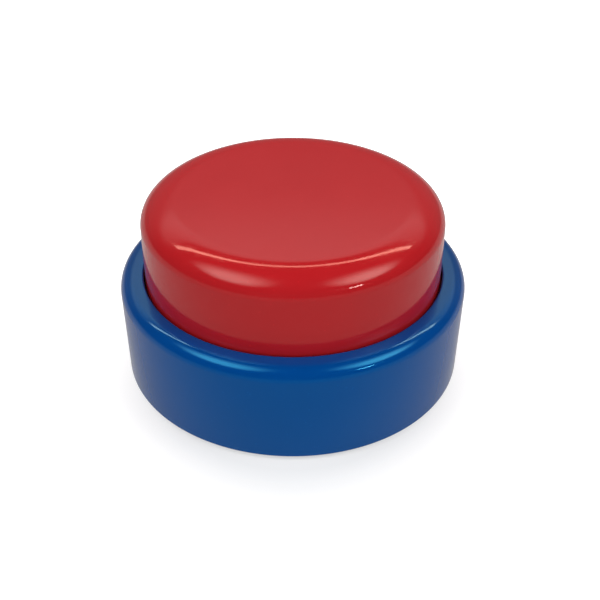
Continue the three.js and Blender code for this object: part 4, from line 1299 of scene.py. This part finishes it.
def speaker_frame():
    """The speaker's foam gasket, its pressed frame with six windows, and the board its wires go to."""
    low, high = box_mm("speaker_gasket")
    gasket = pipe(12, 14, low.z, high.z, SPEAKER, 96, 0.1, "gasket_ring")
    place(gasket, "foam", "speaker_gasket")
    flange, back = [corner.z for corner in box_mm("speaker_frame")]
    basket = revolve("speaker_basket", [
        (11.9, flange), (13.85, flange), (14, flange + 0.15), (14, flange + 0.55), (13.85, flange + 0.7),
        (13, flange + 0.75), (12.6, flange + 1.1), (9.9, back - 0.3), (9.4, back), (4.6, back),
        (4.6, back - 0.7), (9, back - 0.7), (11.9, flange + 1),
    ], 128, SPEAKER)
    cut(basket, *[
        moved(sector(8.6, 14.5, flange + 1.5, back - 1.1, 60 * window, 34), (*SPEAKER, 0))
        for window in range(6)
    ])
    place(basket, "pressed_steel", "speaker_frame")
    terminal = block_at((0, SPEAKER[1] - 10.2), 3.5, 0.9, back - 2.3, back - 0.7, 0.1, "speaker_terminal")
    place(terminal, "circuit_board")


def speaker_magnet():
    """The magnet with its back plate, a fine groove between the two."""
    low, high = box_mm("speaker_magnet")
    top = high.z
    magnet = turned("magnet_ring", [
        (7.3, low.z), (7.5, low.z + 0.2), (7.5, top - 1.2), (7.3, top - 1.05), (7.3, top - 0.95),
        (7.5, top - 0.8), (7.5, top - 0.4), (7.1, top), (2.2, top), (2.0, top - 0.2),
    ], 96, SPEAKER)
    place(magnet, "magnet", "speaker_magnet")


def speaker_cone():
    """The ribbed paper cone with its rolled surround, and the dust cap over its neck."""
    low, high = box_mm("speaker_cone")
    wall, ribs, rib_height, steps = 0.4, 7, 0.05, 18
    rim_z, neck_z = low.z + 0.45, high.z - wall
    under = [(11.5, low.z + 0.15), *arc((10.65, low.z + 0.12), (0.65, -0.12), 20, 160, 7)]
    for i in range(steps + 1):
        share = i / steps
        wave = rib_height * math.sin(share * ribs * math.pi) if 0 < i < steps else 0
        under.append((9.8 - 5.5 * share, rim_z + (neck_z - rim_z) * share + wave))
    above = [(radius, z + wall) for radius, z in reversed(under)]
    cone = revolve("cone_paper", under + above, 96, SPEAKER)
    place(cone, "speaker_paper", "speaker_cone", body="speaker_cone", smooth=50)

    low, high = box_mm("speaker_dust_cap")
    cap = revolve("dust_cap_paper", [
        (0, low.z), (1.2, low.z + 0.05), (2.4, low.z + 0.22), (3.4, low.z + 0.58), (4.2, high.z - 0.35),
        (4.2, high.z), (3.3, high.z - 0.45), (2.4, high.z - 0.7), (1.2, high.z - 0.87), (0, high.z - 0.9),
    ], 64, SPEAKER)
    place(cap, "speaker_paper", "speaker_dust_cap", body="speaker_cone", smooth=60)


# ---------------------------------------------------------------- wires


def wires():
    """Four insulated wires with tinned ends."""
    bare = []
    for node, route in WIRES.items():
        line = smooth_line(route)
        sheath = sweep(node + "_sheath", line[2:-2], 0.6, 14)
        place(sheath, "wire_" + node.split("_")[-1], node)
        bare += [sweep("bare", end, 0.3, 8) for end in (line[:5], line[-5:])]
    place(merge("wire_ends", *bare), "contact_nickel", material=MATERIALS["solder"])


# ---------------------------------------------------------------- floor, lights and camera, in metres

CEILING = 1.2  # height of the studio's ceiling
# Round lights in the ceiling, in ceiling heights: name, middle, size, radiance
SOFTBOXES = (
    ("left", (-0.63, -0.33), (1.15, 1.3), 4.2),
    ("right", (0.86, -0.36), (1.35, 1.3), 4.7),
)
# Parts of the strip in the ceiling behind the object, in ceiling heights: name, middle, width, radiance
STRIPS = (("left", -0.6, 0.7, 11.0), ("middle", 0, 0.5, 9.0), ("right", 0.6, 0.7, 12.0))
# How bright the room is behind the object: (how far up, from level at 0 to straight up at 1, brightness)
ROOM = ((0.0, 0.20), (0.44, 0.26), (0.49, 0.42), (0.54, 0.95), (0.66, 1.0), (0.72, 0.08), (1.0, 0.03))


def fade_to_rim(data):
    """Makes a light fall off smoothly from its middle to its rim."""
    data.use_nodes = True
    made = Graph(data.node_tree)
    from_middle = made.distance(made.add("TexCoord").outputs["UV"], (0.5, 0.5, 0))
    strength = made.spread(from_middle, 0.0, 1.0, 0.5, 0.12, "SMOOTHSTEP")
    made.set(made.nodes["Emission"].inputs["Strength"], strength)


def aimed(name, data, centre, target):
    """Puts a light or a camera at a place, looking at a target."""
    made = bpy.data.objects.new(name, data)
    made.location = centre
    made.rotation_mode = "QUATERNION"
    made.rotation_quaternion = (Vector(target) - Vector(centre)).to_track_quat("-Z", "Y")
    bpy.context.scene.collection.objects.link(made)
    return made


def area_light(name, centre, size, radiance, target=None, color=(1, 1, 1), soft=False):
    """A flat light with a given brightness, which points down if it has no target. A soft one is round
    and fades to its rim."""
    data = bpy.data.lights.new(name, "AREA")
    data.shape = "ELLIPSE" if soft else "RECTANGLE"
    data.size, data.size_y = size
    data.energy = radiance * size[0] * size[1] * math.pi
    data.color = color
    if soft:
        fade_to_rim(data)
    return aimed(name, data, centre, target or (*centre[:2], 0))


def floor():
    """A plain pale table top. It glows a little under the object, which lights the underside, and the
    camera sees a glow that grows away from a point just in front of the object: a painted lift that
    whitens the shadow at the sides and back and leaves it only close in front. From below it can be seen
    through."""
    bm = bmesh.new()
    bmesh.ops.create_grid(bm, x_segments=8, y_segments=8, size=15.0)
    table = link("floor", bm)
    if table.data.polygons[0].normal.z < 0:
        table.data.flip_normals()
    made = Material("pale_table", specular=0.3)
    clouds = made.noise(60.0, detail=4.0)
    made.give("Base Color", made.mix(clouds, (0.32, 0.325, 0.33), (0.35, 0.355, 0.36)))
    made.give("Roughness", 0.55)
    made.give("Emission Color", (1, 1, 1))
    seen = made.add("LightPath").outputs["Is Camera Ray"]
    # Painted shadow: this camera-only glow is weakest 14 mm in front of the middle, so the shadow stays
    # only in front.
    painted_shadow_glow = made.spread(made.distance(made.point, (0, -14, 0)), 0.35, 1.4, 34.0, 100.0)
    beneath = made.spread(made.distance(made.point), 0.8, 0.22, 18.0, 42.0)
    made.give("Emission Strength", made.math("ADD", beneath, made.math("MULTIPLY", seen, painted_shadow_glow)))
    clear = made.add("BsdfTransparent").outputs[0]
    below = made.add("NewGeometry").outputs["Backfacing"]
    mixed = made.add("MixShader", _0=below, _1=made.surface.outputs[0], _2=clear).outputs[0]
    made.set(made.nodes["Material Output"].inputs["Surface"], mixed)
    table.data.materials.append(made.material)


def room():
    """The light from all round, with a bright band half way up behind the object. The camera sees white."""
    world = bpy.data.worlds.new("room")
    bpy.context.scene.world = world
    world.use_nodes = True
    made = Graph(world.node_tree)
    direction = made.add("SeparateXYZ", _0=made.add("TexCoord").outputs["Generated"])
    ramp = made.add("ValToRGB", _0=direction.outputs["Z"])
    stops = ramp.color_ramp.elements
    while len(stops) < len(ROOM):
        stops.new(0.5)
    for stop, (height, brightness) in zip(stops, ROOM):
        stop.position = height
        stop.color = (brightness, brightness, brightness, 1)
    behind = made.spread(direction.outputs["Y"], 0.0, 1.0, 0.25, 0.75, "SMOOTHSTEP")
    light = made.mix(behind, (0.07, 0.07, 0.075), ramp.outputs[0])
    seen = made.add("LightPath").outputs["Is Camera Ray"]
    made.set(made.nodes["Background"].inputs["Color"], made.mix(seen, light, (1, 1, 1)))


def studio():
    """Two soft round lights and a thin warm strip in the ceiling, a lamp that only shows as a glint, and
    a fill in front that has no reflection."""
    for name, (x, y), (width, depth), radiance in SOFTBOXES:
        centre = (x * CEILING, y * CEILING, CEILING)
        size = (width * CEILING, depth * CEILING)
        area_light("softbox_" + name, centre, size, radiance, soft=True)
    for name, x, width, radiance in STRIPS:
        centre = (x * CEILING + 0.03, 0.6 * CEILING, CEILING)
        size = (width * CEILING, 0.13)
        area_light("strip_" + name, centre, size, radiance, color=(1, 0.62, 0.5))
    glint = (1.55 * CEILING, -1.55 * CEILING, CEILING)
    area_light("lamp", glint, (0.5, 0.15), 30.0, (0, 0, 0)).visible_diffuse = False
    area_light("fill", (0, -1.5, 0.35), (2.2, 0.7), 2.0, (0, 0, 0.03)).visible_glossy = False


def camera():
    """The camera: straight in front, three diameters away, looking down at about 36 degrees."""
    elevation = math.radians(35.65)
    distance = 0.27
    target = Vector((0, 0, 0.0135))
    data = bpy.data.cameras.new("camera")
    data.sensor_width = 36
    data.lens = 59.88
    data.shift_x = 0.0119
    data.shift_y = 0.0122
    data.clip_start = 0.01
    data.clip_end = 20
    back = Vector((0, -math.cos(elevation), math.sin(elevation)))
    bpy.context.scene.camera = aimed("camera", data, target + back * distance, target)


for build in (
    ring_shell, cap_shell, carrier, plunger_pad, chassis, button_springs, cover_shell, battery_door, feet,
    screws, contacts, circuit_board, record_button, slide_switch, sound_chip, capacitor, resistors,
    microphone, speaker_frame, speaker_magnet, speaker_cone, wires, pit_depth_and_shade, tact_switches, floor, studio,
    room, camera,
):
    build()
bpy.context.scene.view_settings.view_transform = "Standard"
